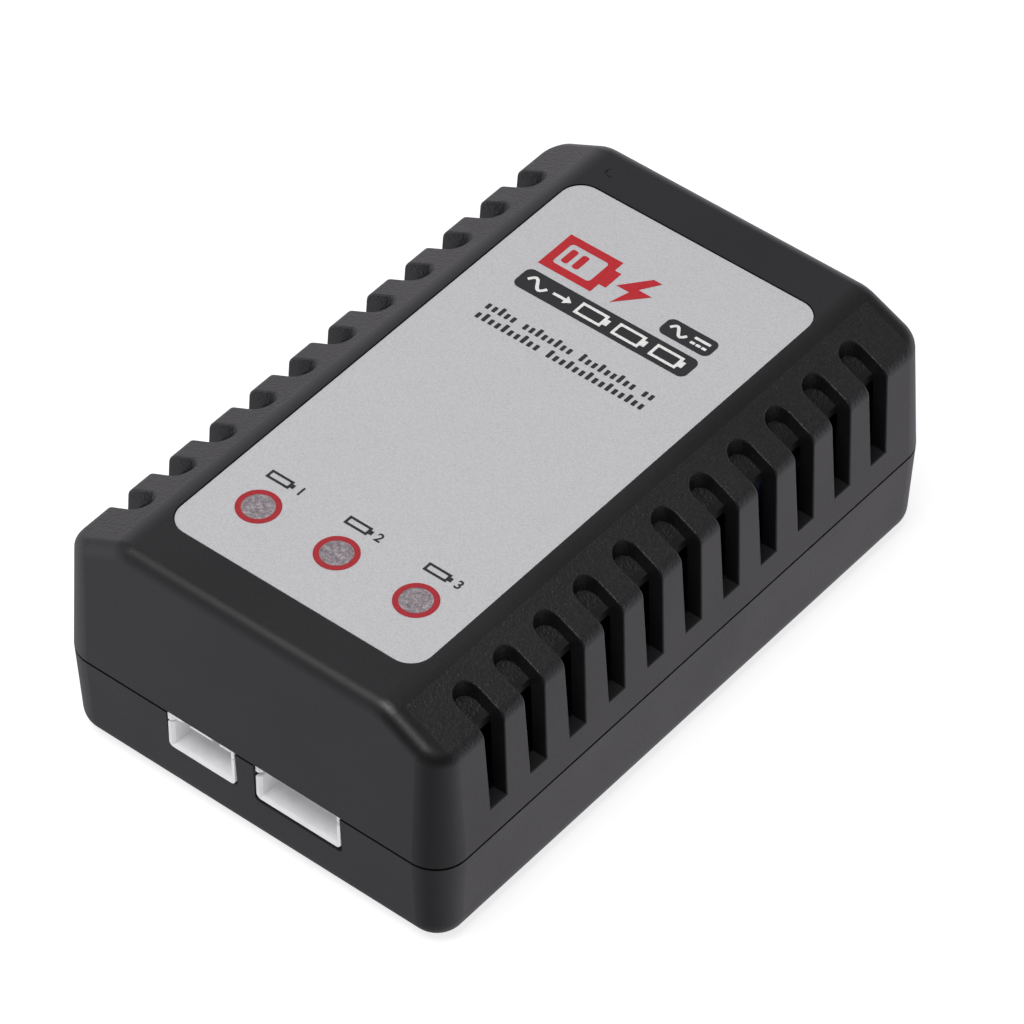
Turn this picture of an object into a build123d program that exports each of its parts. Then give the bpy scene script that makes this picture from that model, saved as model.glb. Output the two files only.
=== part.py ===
from build123d import *
import os
from math import cos, radians, sin, tan

# Compact mains balance charger for small lithium packs.
# Millimetres, +Z up. The front face (balance sockets) looks along -Y, the mains inlet along +Y.
# The origin is on the ground under the middle of the case.

os.makedirs("parts", exist_ok=True)

# ---------------------------------------------------------------- case
CASE_WIDTH = 56.8
CASE_LENGTH = 90.0
CASE_HEIGHT = 33.7
PARTING_Z = 13.3
CORNER_RADIUS = 4.3
WALL = 2.0
UPPER_DRAFT = 3.0
LOWER_DRAFT = 3.0
FOOT_FILLET = 3.2
GROOVE_HEIGHT = 0.35
GROOVE_DEPTH = 0.7
LIP_HEIGHT = 1.4
LIP_THICKNESS = 0.9
LIP_GAP = 0.1

SHOULDER_ANGLE = 27.0
SHOULDER_EDGE_X = 27.53
SHOULDER_EDGE_Z = 29.5
SHOULDER_BLEND = 5.0
RIM_FILLET = 1.8

VENT_COUNT = 11
VENT_PITCH = 6.95
VENT_HALF_WIDTH = 1.83
VENT_DRAFT = 1.6
VENT_END_X = 23.9
VENT_SILL_Z = PARTING_Z + 4.1
VENT_DEPTH = 2.05
VENT_WALL = 2.1
VENT_EDGE_FILLET = 0.2
TUB_WALL = 1.0
SURFACE_TOLERANCE = 0.02

GATE_MARK_X = -15.7
GATE_MARK_Y = 39.5
GATE_MARK_RADIUS = 0.75
GATE_MARK_DEPTH = 0.08

# ---------------------------------------------------------------- labels and lights
LABEL_WIDTH = 36.5
LABEL_LENGTH = 73.4
LABEL_RADIUS = 2.9
LABEL_Y = -0.4
LABEL_THICKNESS = 0.25
LABEL_RECESS = 0.35
LABEL_GAP = 0.15
RATING_WIDTH = 34.0
RATING_LENGTH = 56.0
RATING_THICKNESS = 0.15
RATING_RECESS = 0.2

LED_PITCH = 11.5
LED_Y = -28.8
WINDOW_RADIUS = 1.95
WINDOW_GAP = 0.02
LED_HOLE_RADIUS = 1.7
LED_RADIUS = 1.5
LED_FLANGE_RADIUS = 1.9
LED_FLANGE_HEIGHT = 1.0
LED_BODY_HEIGHT = 5.3
LED_TOP_Z = 32.6
LED_LEAD_WIDTH = 0.5
LED_LEAD_PITCH = 1.27
SPACER_RADIUS = 2.3

# ---------------------------------------------------------------- screws and board
BOSS_X = 21.5
BOSS_Y = 39.2
BOSS_RADIUS = 3.4
COUNTERBORE_RADIUS = 2.5
COUNTERBORE_TOP_Z = 6.7
SCREW_HOLE_RADIUS = 1.5
SCREW_RADIUS = 1.3
SCREW_HEAD_RADIUS = 2.3
SCREW_HEAD_HEIGHT = 1.9
SCREW_TIP_Z = 21.7
PILOT_RADIUS = 1.35
PILOT_TOP_Z = 23.7
CROSS_WIDTH = 0.7
CROSS_LENGTH = 2.6
CROSS_DEPTH = 1.0

BOARD_WIDTH = 50.4
BOARD_LENGTH = 83.4
BOARD_THICKNESS = 1.6
BOARD_TOP_Z = 7.3
BOARD_BOTTOM_Z = BOARD_TOP_Z - BOARD_THICKNESS
BOARD_NOTCH_X = 7.6
BOARD_NOTCH_Y = 6.5
ISOLATION_SLOT_WIDTH = 1.2
POST_X = 22.6
POST_Y = 14.1
POST_RADIUS = 2.2
PEG_RADIUS = 1.2
PEG_HOLE_RADIUS = 1.35
PEG_HEIGHT = 0.9
LEAD_END_Z = 3.9
LEAD_RADIUS = 0.35
LEAD_HOLE_RADIUS = 0.45

# ---------------------------------------------------------------- balance sockets
SOCKET_PITCH = 2.5
SOCKET_MARGIN = 2.45
SOCKET_HEIGHT = 5.5
SOCKET_DEPTH = 9.3
SOCKET_BOTTOM_Z = 7.7
SOCKET_WALL = 0.75
SOCKET_FLOOR = 0.5
SOCKET_LEAD_IN = 0.35
SOCKET_BACK = 1.9
SOCKET_CORNER = 0.7
SOCKET_3_X = -6.9
SOCKET_3_FRONT_Y = -44.9
SOCKET_3_RELIEF = 0.4
SOCKET_4_X = 7.25
SOCKET_4_FRONT_Y = -44.68
SOCKET_4_RELIEF = 0.8
SOCKET_GAP = 0.2
SOCKET_4_GAP_BELOW = 0.6
KEY_SLOT_WIDTH = 1.25
KEY_SLOT_LENGTH = 4.5
KEY_SLOT_INSET = 2.75
RELIEF_TOP_Z = 12.0
RELIEF_LENGTH = 1.4
SOCKET_PIN = 0.64
SOCKET_PIN_Z = 10.4
SOCKET_PIN_TIP_Y = -42.8
SOCKET_PIN_TAIL_Y = -34.2
PIN_HOLE_RADIUS = 0.5

# ---------------------------------------------------------------- mains inlet
INLET_PIN_PITCH = 8.6
INLET_LOBE_RADIUS = 3.95
INLET_WAIST_HEIGHT = 6.4
INLET_WALL = 1.2
INLET_FACE_Y = 44.5
INLET_DEPTH = 12.0
INLET_BACK = 2.2
INLET_NOSE_LENGTH = 2.6
INLET_BODY_WIDTH = 20.6
INLET_BODY_HEIGHT = 12.0
INLET_NOSE_GAP = 0.15
INLET_PIN_RADIUS = 1.2
INLET_STEM_RADIUS = 0.9
INLET_PIN_TIP_Y = 43.0
INLET_PIN_TAIL_Y = 28.8
INLET_TAIL_WIDTH = 1.4
INLET_TAIL_THICKNESS = 0.8

VENT_YS = [(index - (VENT_COUNT - 1) / 2) * VENT_PITCH for index in range(VENT_COUNT)]
LED_XS = [-LED_PITCH, 0.0, LED_PITCH]
BOSS_POINTS = [(x, y) for x in (-BOSS_X, BOSS_X) for y in (-BOSS_Y, BOSS_Y)]
POST_POINTS = [(x, y) for x in (-POST_X, POST_X) for y in (-POST_Y, POST_Y)]


def save(builder, name):
    """Label a finished sub-part and write its STEP file."""
    builder.part.label = name
    export_step(builder.part, f"parts/{name}.step")


# ================================================================ case halves
def shoulder_z(x, inset):
    """Height of the right shoulder plane at x, `inset` inside the outer surface."""
    slope = tan(radians(SHOULDER_ANGLE))
    edge_x = SHOULDER_EDGE_X - inset * sin(radians(SHOULDER_ANGLE))
    edge_z = SHOULDER_EDGE_Z - inset * cos(radians(SHOULDER_ANGLE))
    return edge_z + (edge_x - x) * slope


def outline(inset):
    """Rounded case outline at the parting plane, `inset` inside the outer surface."""
    return RectangleRounded(CASE_WIDTH - 2 * inset, CASE_LENGTH - 2 * inset, CORNER_RADIUS - inset)


def outline_cut(inset):
    """Take the same outline out of the open sketch."""
    RectangleRounded(
        CASE_WIDTH - 2 * inset, CASE_LENGTH - 2 * inset, CORNER_RADIUS - inset, mode=Mode.SUBTRACT
    )


def upper_form(inset):
    """Solid dome of the upper half with its two sloping shoulders, `inset` inside the surface."""
    inner_x = CASE_WIDTH / 6
    outer_x = CASE_WIDTH
    with BuildPart() as form:
        with BuildSketch(Plane.XY.offset(PARTING_Z)):
            outline(inset)
        extrude(amount=CASE_HEIGHT - inset - PARTING_Z, taper=UPPER_DRAFT)
        with BuildSketch(Plane.XZ):
            with BuildLine():
                Polyline(
                    (inner_x, shoulder_z(inner_x, inset)),
                    (outer_x, shoulder_z(outer_x, inset)),
                    (outer_x, shoulder_z(inner_x, inset)),
                    close=True,
                )
            make_face()
            mirror(about=Plane.YZ)
        extrude(amount=CASE_LENGTH, both=True, mode=Mode.SUBTRACT)
    return form.part


def lower_form(inset):
    """Solid tray of the lower half, `inset` inside the outer surface."""
    with BuildPart() as form:
        with BuildSketch(Plane.XY.offset(PARTING_Z)):
            outline(inset)
        extrude(amount=inset - PARTING_Z, taper=LOWER_DRAFT)
        fillet(form.edges().group_by(Axis.Z)[0], FOOT_FILLET - inset)
    return form.part


def inlet_nose(grow):
    """Sketch the outline of the inlet's nose in the open sketch, `grow` larger all round."""
    with Locations((0, PARTING_Z)):
        SlotCenterToCenter(INLET_PIN_PITCH, 2 * (INLET_LOBE_RADIUS + INLET_WALL + grow))


def vent_cutter():
    """One right-hand vent at y = 0: a pocket in the shoulder that opens through the side wall."""
    floor_x = SHOULDER_EDGE_X - VENT_WALL
    above_z = CASE_HEIGHT + WALL
    outside_x = CASE_WIDTH
    inside_x = VENT_END_X - 2 * VENT_HALF_WIDTH
    with BuildPart() as vent:
        with BuildSketch(Plane.XY.offset(CASE_HEIGHT)):
            with Locations((VENT_END_X, 0)):
                Circle(VENT_HALF_WIDTH)
                Rectangle(outside_x, 2 * VENT_HALF_WIDTH, align=(Align.MIN, Align.CENTER))
        extrude(amount=CASE_HEIGHT - VENT_SILL_Z, dir=(0, 0, -1), taper=VENT_DRAFT)
        with BuildSketch(Plane.XZ):
            with BuildLine():
                Polyline(
                    (inside_x, shoulder_z(inside_x, VENT_DEPTH)),
                    (floor_x, shoulder_z(floor_x, VENT_DEPTH)),
                    (floor_x, VENT_SILL_Z),
                    (outside_x, VENT_SILL_Z),
                    (outside_x, above_z),
                    (inside_x, above_z),
                    close=True,
                )
            make_face()
        extrude(amount=VENT_PITCH, both=True, mode=Mode.INTERSECT)
    return vent.part


def vent_tub():
    """Thin tray under one right-hand vent pocket at y = 0, merged into the wall around it."""
    inside_x = VENT_END_X - VENT_HALF_WIDTH - TUB_WALL
    wall_x = SHOULDER_EDGE_X - VENT_WALL + TUB_WALL / 4
    under = VENT_DEPTH + TUB_WALL
    with BuildPart() as tub:
        with BuildSketch(Plane.XZ):
            with BuildLine():
                Polyline(
                    (inside_x, shoulder_z(inside_x, under)),
                    (wall_x, shoulder_z(wall_x, under)),
                    (wall_x, shoulder_z(wall_x, WALL / 2)),
                    (inside_x, shoulder_z(inside_x, WALL / 2)),
                    close=True,
                )
            make_face()
        extrude(amount=VENT_HALF_WIDTH + TUB_WALL, both=True)
    return tub.part


def upper_bosses():
    """Four screw columns that reach up into the roof and shoulders."""
    with BuildPart() as bosses:
        with BuildSketch(Plane.XY.offset(PARTING_Z)):
            with Locations(*BOSS_POINTS):
                Circle(BOSS_RADIUS)
        extrude(amount=CASE_HEIGHT - PARTING_Z)
        add(upper_form(WALL / 2), mode=Mode.INTERSECT)
    return bosses.part


def is_rim_edge(edge):
    """True for the edges between the dome's roof or shoulders and its upright faces."""
    centre = edge.center()
    is_blend_seam = abs(centre.X) < VENT_END_X and abs(centre.Y) < WALL
    return centre.Z > SHOULDER_EDGE_Z - RIM_FILLET and not is_blend_seam


def is_vent_edge(edge):
    """True for the edges where the vents break through the outer surface."""
    middle = edge.position_at(0.5)
    side = abs(middle.X)
    if side < VENT_END_X - VENT_HALF_WIDTH - TUB_WALL / 2:
        return False
    if abs(middle.Y) > VENT_YS[-1] + VENT_PITCH / 2 or middle.Z < VENT_SILL_Z - SURFACE_TOLERANCE:
        return False
    runs_along_case = abs(edge.tangent_at(0.5).Y) > cos(radians(SHOULDER_ANGLE / 4))
    if runs_along_case and side > VENT_END_X and middle.Z > VENT_SILL_Z + WALL:
        return False
    wall_x = CASE_WIDTH / 2 - (middle.Z - PARTING_Z) * tan(radians(UPPER_DRAFT))
    on_wall = abs(side - wall_x) < SURFACE_TOLERANCE
    on_shoulder = abs(middle.Z - shoulder_z(side, 0)) < SURFACE_TOLERANCE
    on_rim = side > SHOULDER_EDGE_X - RIM_FILLET and abs(middle.Z - SHOULDER_EDGE_Z) < RIM_FILLET
    return on_wall or on_shoulder or on_rim


with BuildPart() as upper_shell:
    add(upper_form(0))
    fillet(upper_shell.faces().sort_by(Axis.Z)[-1].edges().filter_by(Axis.Y), SHOULDER_BLEND)
    fillet(upper_shell.edges().filter_by(is_rim_edge), RIM_FILLET)
    add(upper_form(WALL), mode=Mode.SUBTRACT)
    with BuildSketch(Plane.XY.offset(PARTING_Z)):
        outline(WALL - LIP_THICKNESS - LIP_GAP)
    extrude(amount=LIP_HEIGHT + LIP_GAP, mode=Mode.SUBTRACT)
    add(upper_bosses())
    with Locations(*[(0, y, 0) for y in VENT_YS]):
        add(vent_tub())
        add(vent_tub().mirror(Plane.YZ))
        add(vent_cutter(), mode=Mode.SUBTRACT)
        add(vent_cutter().mirror(Plane.YZ), mode=Mode.SUBTRACT)
    fillet(upper_shell.edges().filter_by(is_vent_edge), VENT_EDGE_FILLET)
    with BuildSketch(Plane.XY.offset(PARTING_Z)):
        with Locations(*BOSS_POINTS):
            Circle(PILOT_RADIUS)
    extrude(amount=PILOT_TOP_Z - PARTING_Z, mode=Mode.SUBTRACT)
    with BuildSketch(Plane.XY.offset(CASE_HEIGHT)):
        with Locations((0, LABEL_Y)):
            RectangleRounded(
                LABEL_WIDTH + 2 * LABEL_GAP, LABEL_LENGTH + 2 * LABEL_GAP, LABEL_RADIUS + LABEL_GAP
            )
    extrude(amount=-LABEL_RECESS, mode=Mode.SUBTRACT)
    with BuildSketch(Plane.XY.offset(CASE_HEIGHT)):
        with Locations(*[(x, LED_Y) for x in LED_XS]):
            Circle(LED_HOLE_RADIUS)
    extrude(amount=-2 * WALL, mode=Mode.SUBTRACT)
    with BuildSketch(Plane.XY.offset(CASE_HEIGHT)):
        with Locations((GATE_MARK_X, GATE_MARK_Y)):
            Circle(GATE_MARK_RADIUS)
        with Locations((GATE_MARK_X + GATE_MARK_RADIUS / 4, GATE_MARK_Y + GATE_MARK_RADIUS / 4)):
            Circle(GATE_MARK_RADIUS, mode=Mode.SUBTRACT)
    extrude(amount=-GATE_MARK_DEPTH, mode=Mode.SUBTRACT)
    with BuildSketch(Plane.XZ.offset(-CASE_LENGTH / 2)):
        inlet_nose(INLET_NOSE_GAP)
    extrude(amount=2 * WALL, mode=Mode.SUBTRACT)
save(upper_shell, "upper_shell")


def socket_notch(centre_x, pin_count, gap_below):
    """Cutter for one balance socket's notch in the front wall of the lower half."""
    width = socket_width(pin_count) + 2 * SOCKET_GAP
    bottom_z = SOCKET_BOTTOM_Z - gap_below
    height = PARTING_Z - bottom_z + SOCKET_CORNER
    with BuildPart() as notch:
        with BuildSketch(Plane.XZ.offset(CASE_LENGTH / 2)):
            with Locations((centre_x, bottom_z)):
                RectangleRounded(width, height, SOCKET_CORNER, align=(Align.CENTER, Align.MIN))
            with Locations((centre_x, bottom_z + height / 2)):
                Rectangle(width, height, align=(Align.CENTER, Align.MIN))
        extrude(amount=-2 * WALL)
    return notch.part


def socket_width(pin_count):
    """Overall width of a balance socket with this many pins."""
    return (pin_count - 1) * SOCKET_PITCH + 2 * SOCKET_MARGIN


with BuildPart() as lower_shell:
    add(lower_form(0))
    add(lower_form(WALL), mode=Mode.SUBTRACT)
    with BuildSketch(Plane.XY.offset(PARTING_Z)):
        outline(WALL - LIP_THICKNESS)
    extrude(amount=LIP_HEIGHT)
    with BuildSketch(Plane.XY.offset(PARTING_Z)):
        outline(WALL)
    extrude(amount=LIP_HEIGHT, mode=Mode.SUBTRACT)
    with BuildSketch(Plane.XY.offset(PARTING_Z)):
        RectangleRounded(CASE_WIDTH + WALL, CASE_LENGTH + WALL, CORNER_RADIUS)
        outline_cut(GROOVE_DEPTH)
    extrude(amount=-GROOVE_HEIGHT, mode=Mode.SUBTRACT)
    with BuildSketch(Plane.XY.offset(WALL / 2)):
        with Locations(*BOSS_POINTS):
            Circle(BOSS_RADIUS)
    extrude(amount=PARTING_Z - WALL / 2)
    with BuildSketch(Plane.XY.offset(WALL / 2)):
        with Locations(*POST_POINTS):
            Circle(POST_RADIUS)
    extrude(amount=BOARD_BOTTOM_Z - WALL / 2)
    with BuildSketch(Plane.XY.offset(BOARD_BOTTOM_Z)):
        with Locations(*POST_POINTS):
            Circle(PEG_RADIUS)
    extrude(amount=BOARD_THICKNESS + PEG_HEIGHT)
    with BuildSketch(Plane.XY):
        with Locations(*BOSS_POINTS):
            Circle(COUNTERBORE_RADIUS)
    extrude(amount=COUNTERBORE_TOP_Z, mode=Mode.SUBTRACT)
    with BuildSketch(Plane.XY):
        with Locations(*BOSS_POINTS):
            Circle(SCREW_HOLE_RADIUS)
    extrude(amount=PARTING_Z, mode=Mode.SUBTRACT)
    with BuildSketch(Plane.XY):
        RectangleRounded(
            RATING_WIDTH + 2 * LABEL_GAP, RATING_LENGTH + 2 * LABEL_GAP, LABEL_RADIUS + LABEL_GAP
        )
    extrude(amount=RATING_RECESS, mode=Mode.SUBTRACT)
    add(socket_notch(SOCKET_3_X, 3, SOCKET_GAP), mode=Mode.SUBTRACT)
    add(socket_notch(SOCKET_4_X, 4, SOCKET_4_GAP_BELOW), mode=Mode.SUBTRACT)
    with BuildSketch(Plane.XZ.offset(-CASE_LENGTH / 2)):
        inlet_nose(INLET_NOSE_GAP)
    extrude(amount=2 * WALL, mode=Mode.SUBTRACT)
save(lower_shell, "lower_shell")


# ================================================================ labels and windows
with BuildPart() as top_label:
    with BuildSketch(Plane.XY.offset(CASE_HEIGHT - LABEL_RECESS)):
        with Locations((0, LABEL_Y)):
            RectangleRounded(LABEL_WIDTH, LABEL_LENGTH, LABEL_RADIUS)
        with Locations(*[(x, LED_Y) for x in LED_XS]):
            Circle(WINDOW_RADIUS, mode=Mode.SUBTRACT)
    extrude(amount=LABEL_THICKNESS)
save(top_label, "top_label")

with BuildPart() as led_windows:
    with BuildSketch(Plane.XY.offset(CASE_HEIGHT - LABEL_RECESS)):
        with Locations(*[(x, LED_Y) for x in LED_XS]):
            Circle(WINDOW_RADIUS - WINDOW_GAP)
    extrude(amount=LABEL_THICKNESS)
save(led_windows, "led_windows")

with BuildPart() as rating_label:
    with BuildSketch(Plane.XY.offset(RATING_RECESS - RATING_THICKNESS)):
        RectangleRounded(RATING_WIDTH, RATING_LENGTH, LABEL_RADIUS)
    extrude(amount=RATING_THICKNESS)
save(rating_label, "rating_label")


# ================================================================ case screws
with BuildPart() as case_screws:
    with BuildSketch(Plane.XY.offset(COUNTERBORE_TOP_Z - SCREW_HEAD_HEIGHT)):
        with Locations(*BOSS_POINTS):
            Circle(SCREW_HEAD_RADIUS)
    extrude(amount=SCREW_HEAD_HEIGHT)
    fillet(case_screws.edges().group_by(Axis.Z)[0], SCREW_HEAD_HEIGHT / 3)
    with BuildSketch(Plane.XY.offset(COUNTERBORE_TOP_Z)):
        with Locations(*BOSS_POINTS):
            Circle(SCREW_RADIUS)
    extrude(amount=SCREW_TIP_Z - COUNTERBORE_TOP_Z)
    chamfer(case_screws.edges().group_by(Axis.Z)[-1], SCREW_RADIUS / 2)
    with BuildSketch(Plane.XY.offset(COUNTERBORE_TOP_Z - SCREW_HEAD_HEIGHT)):
        with Locations(*BOSS_POINTS):
            Rectangle(CROSS_LENGTH, CROSS_WIDTH)
            Rectangle(CROSS_WIDTH, CROSS_LENGTH)
    extrude(amount=CROSS_DEPTH, mode=Mode.SUBTRACT)
save(case_screws, "case_screws")


# ================================================================ balance sockets
def socket_pin_xs(centre_x, pin_count):
    """X of each pin of a balance socket."""
    return [centre_x + (index - (pin_count - 1) / 2) * SOCKET_PITCH for index in range(pin_count)]


def make_socket(centre_x, pin_count, front_y, relief_height):
    """Side-entry balance socket: a box open to the front, with key slots in its roof."""
    width = socket_width(pin_count)
    inner_width = width - 2 * SOCKET_WALL
    inner_height = SOCKET_HEIGHT - SOCKET_WALL - SOCKET_FLOOR
    top_z = SOCKET_BOTTOM_Z + SOCKET_HEIGHT
    with BuildPart() as socket:
        with BuildSketch(Plane.XZ.offset(-front_y)):
            with Locations((centre_x, SOCKET_BOTTOM_Z)):
                RectangleRounded(width, SOCKET_HEIGHT, SOCKET_CORNER, align=(Align.CENTER, Align.MIN))
            with Locations((centre_x, top_z)):
                Rectangle(width, SOCKET_HEIGHT / 2, align=(Align.CENTER, Align.MAX))
        extrude(amount=-SOCKET_DEPTH)
        with BuildSketch(Plane.XZ.offset(-front_y)):
            with Locations((centre_x, SOCKET_BOTTOM_Z + SOCKET_FLOOR)):
                Rectangle(inner_width, inner_height, align=(Align.CENTER, Align.MIN))
        extrude(amount=SOCKET_BACK - SOCKET_DEPTH, mode=Mode.SUBTRACT)
        chamfer(socket.faces().sort_by(Axis.Y)[0].inner_wires()[0].edges(), SOCKET_LEAD_IN)
        with BuildSketch(Plane.XY.offset(top_z)):
            for side in (-1, 1):
                with Locations((centre_x + side * (width / 2 - KEY_SLOT_INSET), front_y)):
                    Rectangle(KEY_SLOT_WIDTH, KEY_SLOT_LENGTH, align=(Align.CENTER, Align.MIN))
        extrude(amount=-2 * SOCKET_WALL, mode=Mode.SUBTRACT)
        with BuildSketch(Plane.XZ.offset(-front_y)):
            with Locations((centre_x, RELIEF_TOP_Z)):
                Rectangle(width, relief_height, align=(Align.CENTER, Align.MAX))
        extrude(amount=-RELIEF_LENGTH, mode=Mode.SUBTRACT)
        with BuildSketch(Plane.XZ.offset(-front_y)):
            with Locations(*[(x, SOCKET_PIN_Z) for x in socket_pin_xs(centre_x, pin_count)]):
                Rectangle(SOCKET_PIN, SOCKET_PIN)
        extrude(amount=-SOCKET_DEPTH, mode=Mode.SUBTRACT)
    return socket


def make_socket_pins(centre_x, pin_count):
    """Square pins that run back out of the socket and turn down through the board."""
    pin_xs = socket_pin_xs(centre_x, pin_count)
    run = SOCKET_PIN_TAIL_Y - SOCKET_PIN_TIP_Y
    with BuildPart() as pins:
        with BuildSketch(Plane.XZ.offset(-SOCKET_PIN_TIP_Y)):
            with Locations(*[(x, SOCKET_PIN_Z) for x in pin_xs]):
                Rectangle(SOCKET_PIN, SOCKET_PIN)
        extrude(amount=-run)
        chamfer(pins.faces().group_by(Axis.Y)[0].edges(), SOCKET_PIN / 4)
        with BuildSketch(Plane.XY.offset(SOCKET_PIN_Z + SOCKET_PIN / 2)):
            with Locations(*[(x, SOCKET_PIN_TAIL_Y) for x in pin_xs]):
                Rectangle(SOCKET_PIN, SOCKET_PIN, align=(Align.CENTER, Align.MAX))
        extrude(amount=LEAD_END_Z - SOCKET_PIN_Z)
    return pins


save(make_socket(SOCKET_3_X, 3, SOCKET_3_FRONT_Y, SOCKET_3_RELIEF), "balance_socket_3pin")
save(make_socket(SOCKET_4_X, 4, SOCKET_4_FRONT_Y, SOCKET_4_RELIEF), "balance_socket_4pin")
save(make_socket_pins(SOCKET_3_X, 3), "balance_pins_3pin")
save(make_socket_pins(SOCKET_4_X, 4), "balance_pins_4pin")


# ================================================================ mains inlet
INLET_FLOOR_Y = INLET_FACE_Y - INLET_DEPTH
INLET_BODY_FRONT_Y = INLET_FACE_Y - INLET_NOSE_LENGTH
INLET_BODY_BACK_Y = INLET_FLOOR_Y - INLET_BACK
INLET_PIN_XS = [-INLET_PIN_PITCH / 2, INLET_PIN_PITCH / 2]

with BuildPart() as mains_inlet:
    with BuildSketch(Plane.XZ.offset(-INLET_BODY_FRONT_Y)):
        with Locations((0, BOARD_TOP_Z)):
            Rectangle(INLET_BODY_WIDTH, INLET_BODY_HEIGHT, align=(Align.CENTER, Align.MIN))
    extrude(amount=INLET_BODY_FRONT_Y - INLET_BODY_BACK_Y)
    fillet(mains_inlet.edges().filter_by(Axis.Y), INLET_WALL)
    with BuildSketch(Plane.XZ.offset(-INLET_FACE_Y)):
        inlet_nose(0)
    extrude(amount=INLET_NOSE_LENGTH)
    fillet(mains_inlet.faces().sort_by(Axis.Y)[-1].edges(), INLET_WALL / 4)
    with BuildSketch(Plane.XZ.offset(-INLET_FACE_Y)):
        with Locations(*[(x, PARTING_Z) for x in INLET_PIN_XS]):
            Circle(INLET_LOBE_RADIUS)
        with Locations((0, PARTING_Z)):
            Rectangle(INLET_PIN_PITCH, INLET_WAIST_HEIGHT)
    extrude(amount=INLET_DEPTH, mode=Mode.SUBTRACT)
    with BuildSketch(Plane.XZ.offset(-INLET_FLOOR_Y)):
        with Locations(*[(x, PARTING_Z) for x in INLET_PIN_XS]):
            Circle(INLET_STEM_RADIUS)
    extrude(amount=INLET_BACK, mode=Mode.SUBTRACT)
save(mains_inlet, "mains_inlet")

with BuildPart() as inlet_pins:
    with BuildSketch(Plane.XZ.offset(-INLET_FLOOR_Y)):
        with Locations(*[(x, PARTING_Z) for x in INLET_PIN_XS]):
            Circle(INLET_PIN_RADIUS)
    extrude(amount=INLET_FLOOR_Y - INLET_PIN_TIP_Y)
    fillet(inlet_pins.edges().group_by(Axis.Y)[-1], INLET_PIN_RADIUS * 0.8)
    with BuildSketch(Plane.XZ.offset(-INLET_PIN_TAIL_Y)):
        with Locations(*[(x, PARTING_Z) for x in INLET_PIN_XS]):
            Circle(INLET_STEM_RADIUS)
    extrude(amount=INLET_PIN_TAIL_Y - INLET_FLOOR_Y)
    with BuildSketch(Plane.XY.offset(PARTING_Z)):
        with Locations(*[(x, INLET_PIN_TAIL_Y) for x in INLET_PIN_XS]):
            Rectangle(INLET_TAIL_WIDTH, INLET_TAIL_THICKNESS, align=(Align.CENTER, Align.MIN))
    extrude(amount=LEAD_END_Z - PARTING_Z)
save(inlet_pins, "inlet_pins")


# ================================================================ charge lights
LED_FLANGE_Z = LED_TOP_Z - LED_BODY_HEIGHT
LED_LEAD_POINTS = [(x + step * LED_LEAD_PITCH, LED_Y) for x in LED_XS for step in (-1, 0, 1)]

with BuildPart() as status_leds:
    with BuildSketch(Plane.XY.offset(LED_FLANGE_Z)):
        with Locations(*[(x, LED_Y) for x in LED_XS]):
            Circle(LED_FLANGE_RADIUS)
    extrude(amount=LED_FLANGE_HEIGHT)
    with BuildSketch(Plane.XY.offset(LED_FLANGE_Z + LED_FLANGE_HEIGHT)):
        with Locations(*[(x, LED_Y) for x in LED_XS]):
            Circle(LED_RADIUS)
    extrude(amount=LED_BODY_HEIGHT - LED_FLANGE_HEIGHT)
    fillet(status_leds.edges().group_by(Axis.Z)[-1], LED_RADIUS * 0.9)
save(status_leds, "status_leds")

with BuildPart() as led_spacers:
    with BuildSketch(Plane.XY.offset(BOARD_TOP_Z)):
        with Locations(*[(x, LED_Y) for x in LED_XS]):
            Circle(SPACER_RADIUS)
        with Locations(*LED_LEAD_POINTS):
            Circle(LEAD_HOLE_RADIUS, mode=Mode.SUBTRACT)
    extrude(amount=LED_FLANGE_Z - BOARD_TOP_Z)
save(led_spacers, "led_spacers")

with BuildPart() as led_leads:
    with BuildSketch(Plane.XY.offset(LEAD_END_Z)):
        with Locations(*LED_LEAD_POINTS):
            Rectangle(LED_LEAD_WIDTH, LED_LEAD_WIDTH)
    extrude(amount=LED_FLANGE_Z - LEAD_END_Z)
save(led_leads, "led_leads")


# ================================================================ transformer
TRANSFORMER_Y = 6.5
CORE_BOTTOM_Z = 7.7
CORE_WIDTH = 20.0
CORE_HEIGHT = 16.0
CORE_DEPTH = 5.2
CORE_LEG_WIDTH = 5.0
CORE_SIDE_WIDTH = 2.4
CORE_YOKE_HEIGHT = 2.6
CORE_GAP = 0.1
CORE_TOP_Z = CORE_BOTTOM_Z + CORE_HEIGHT
WINDOW_BOTTOM_Z = CORE_BOTTOM_Z + CORE_YOKE_HEIGHT
WINDOW_TOP_Z = CORE_TOP_Z - CORE_YOKE_HEIGHT
BOBBIN_WALL = 0.8
BOBBIN_FLANGE_WIDTH = 14.8
BOBBIN_FLANGE_DEPTH = 15.2
BOBBIN_FLANGE_HEIGHT = 0.9
RAIL_WIDTH = 17.0
RAIL_DEPTH = 3.4
WINDING_WIDTH = 13.2
WINDING_DEPTH = 14.0
WINDING_RADIUS = 3.0
TAPE_THICKNESS = 0.25
TAPE_MARGIN = 0.4
TRANSFORMER_PIN_PITCH = 4.0
TRANSFORMER_PIN_POINTS = [
    (step * TRANSFORMER_PIN_PITCH, TRANSFORMER_Y + side * (BOBBIN_FLANGE_DEPTH - RAIL_DEPTH) / 2)
    for step in (-1.5, -0.5, 0.5, 1.5)
    for side in (-1, 1)
]
TUBE_WIDTH = CORE_LEG_WIDTH + 2 * (CORE_GAP + BOBBIN_WALL)
TUBE_DEPTH = CORE_DEPTH + 2 * (CORE_GAP + BOBBIN_WALL)
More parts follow.
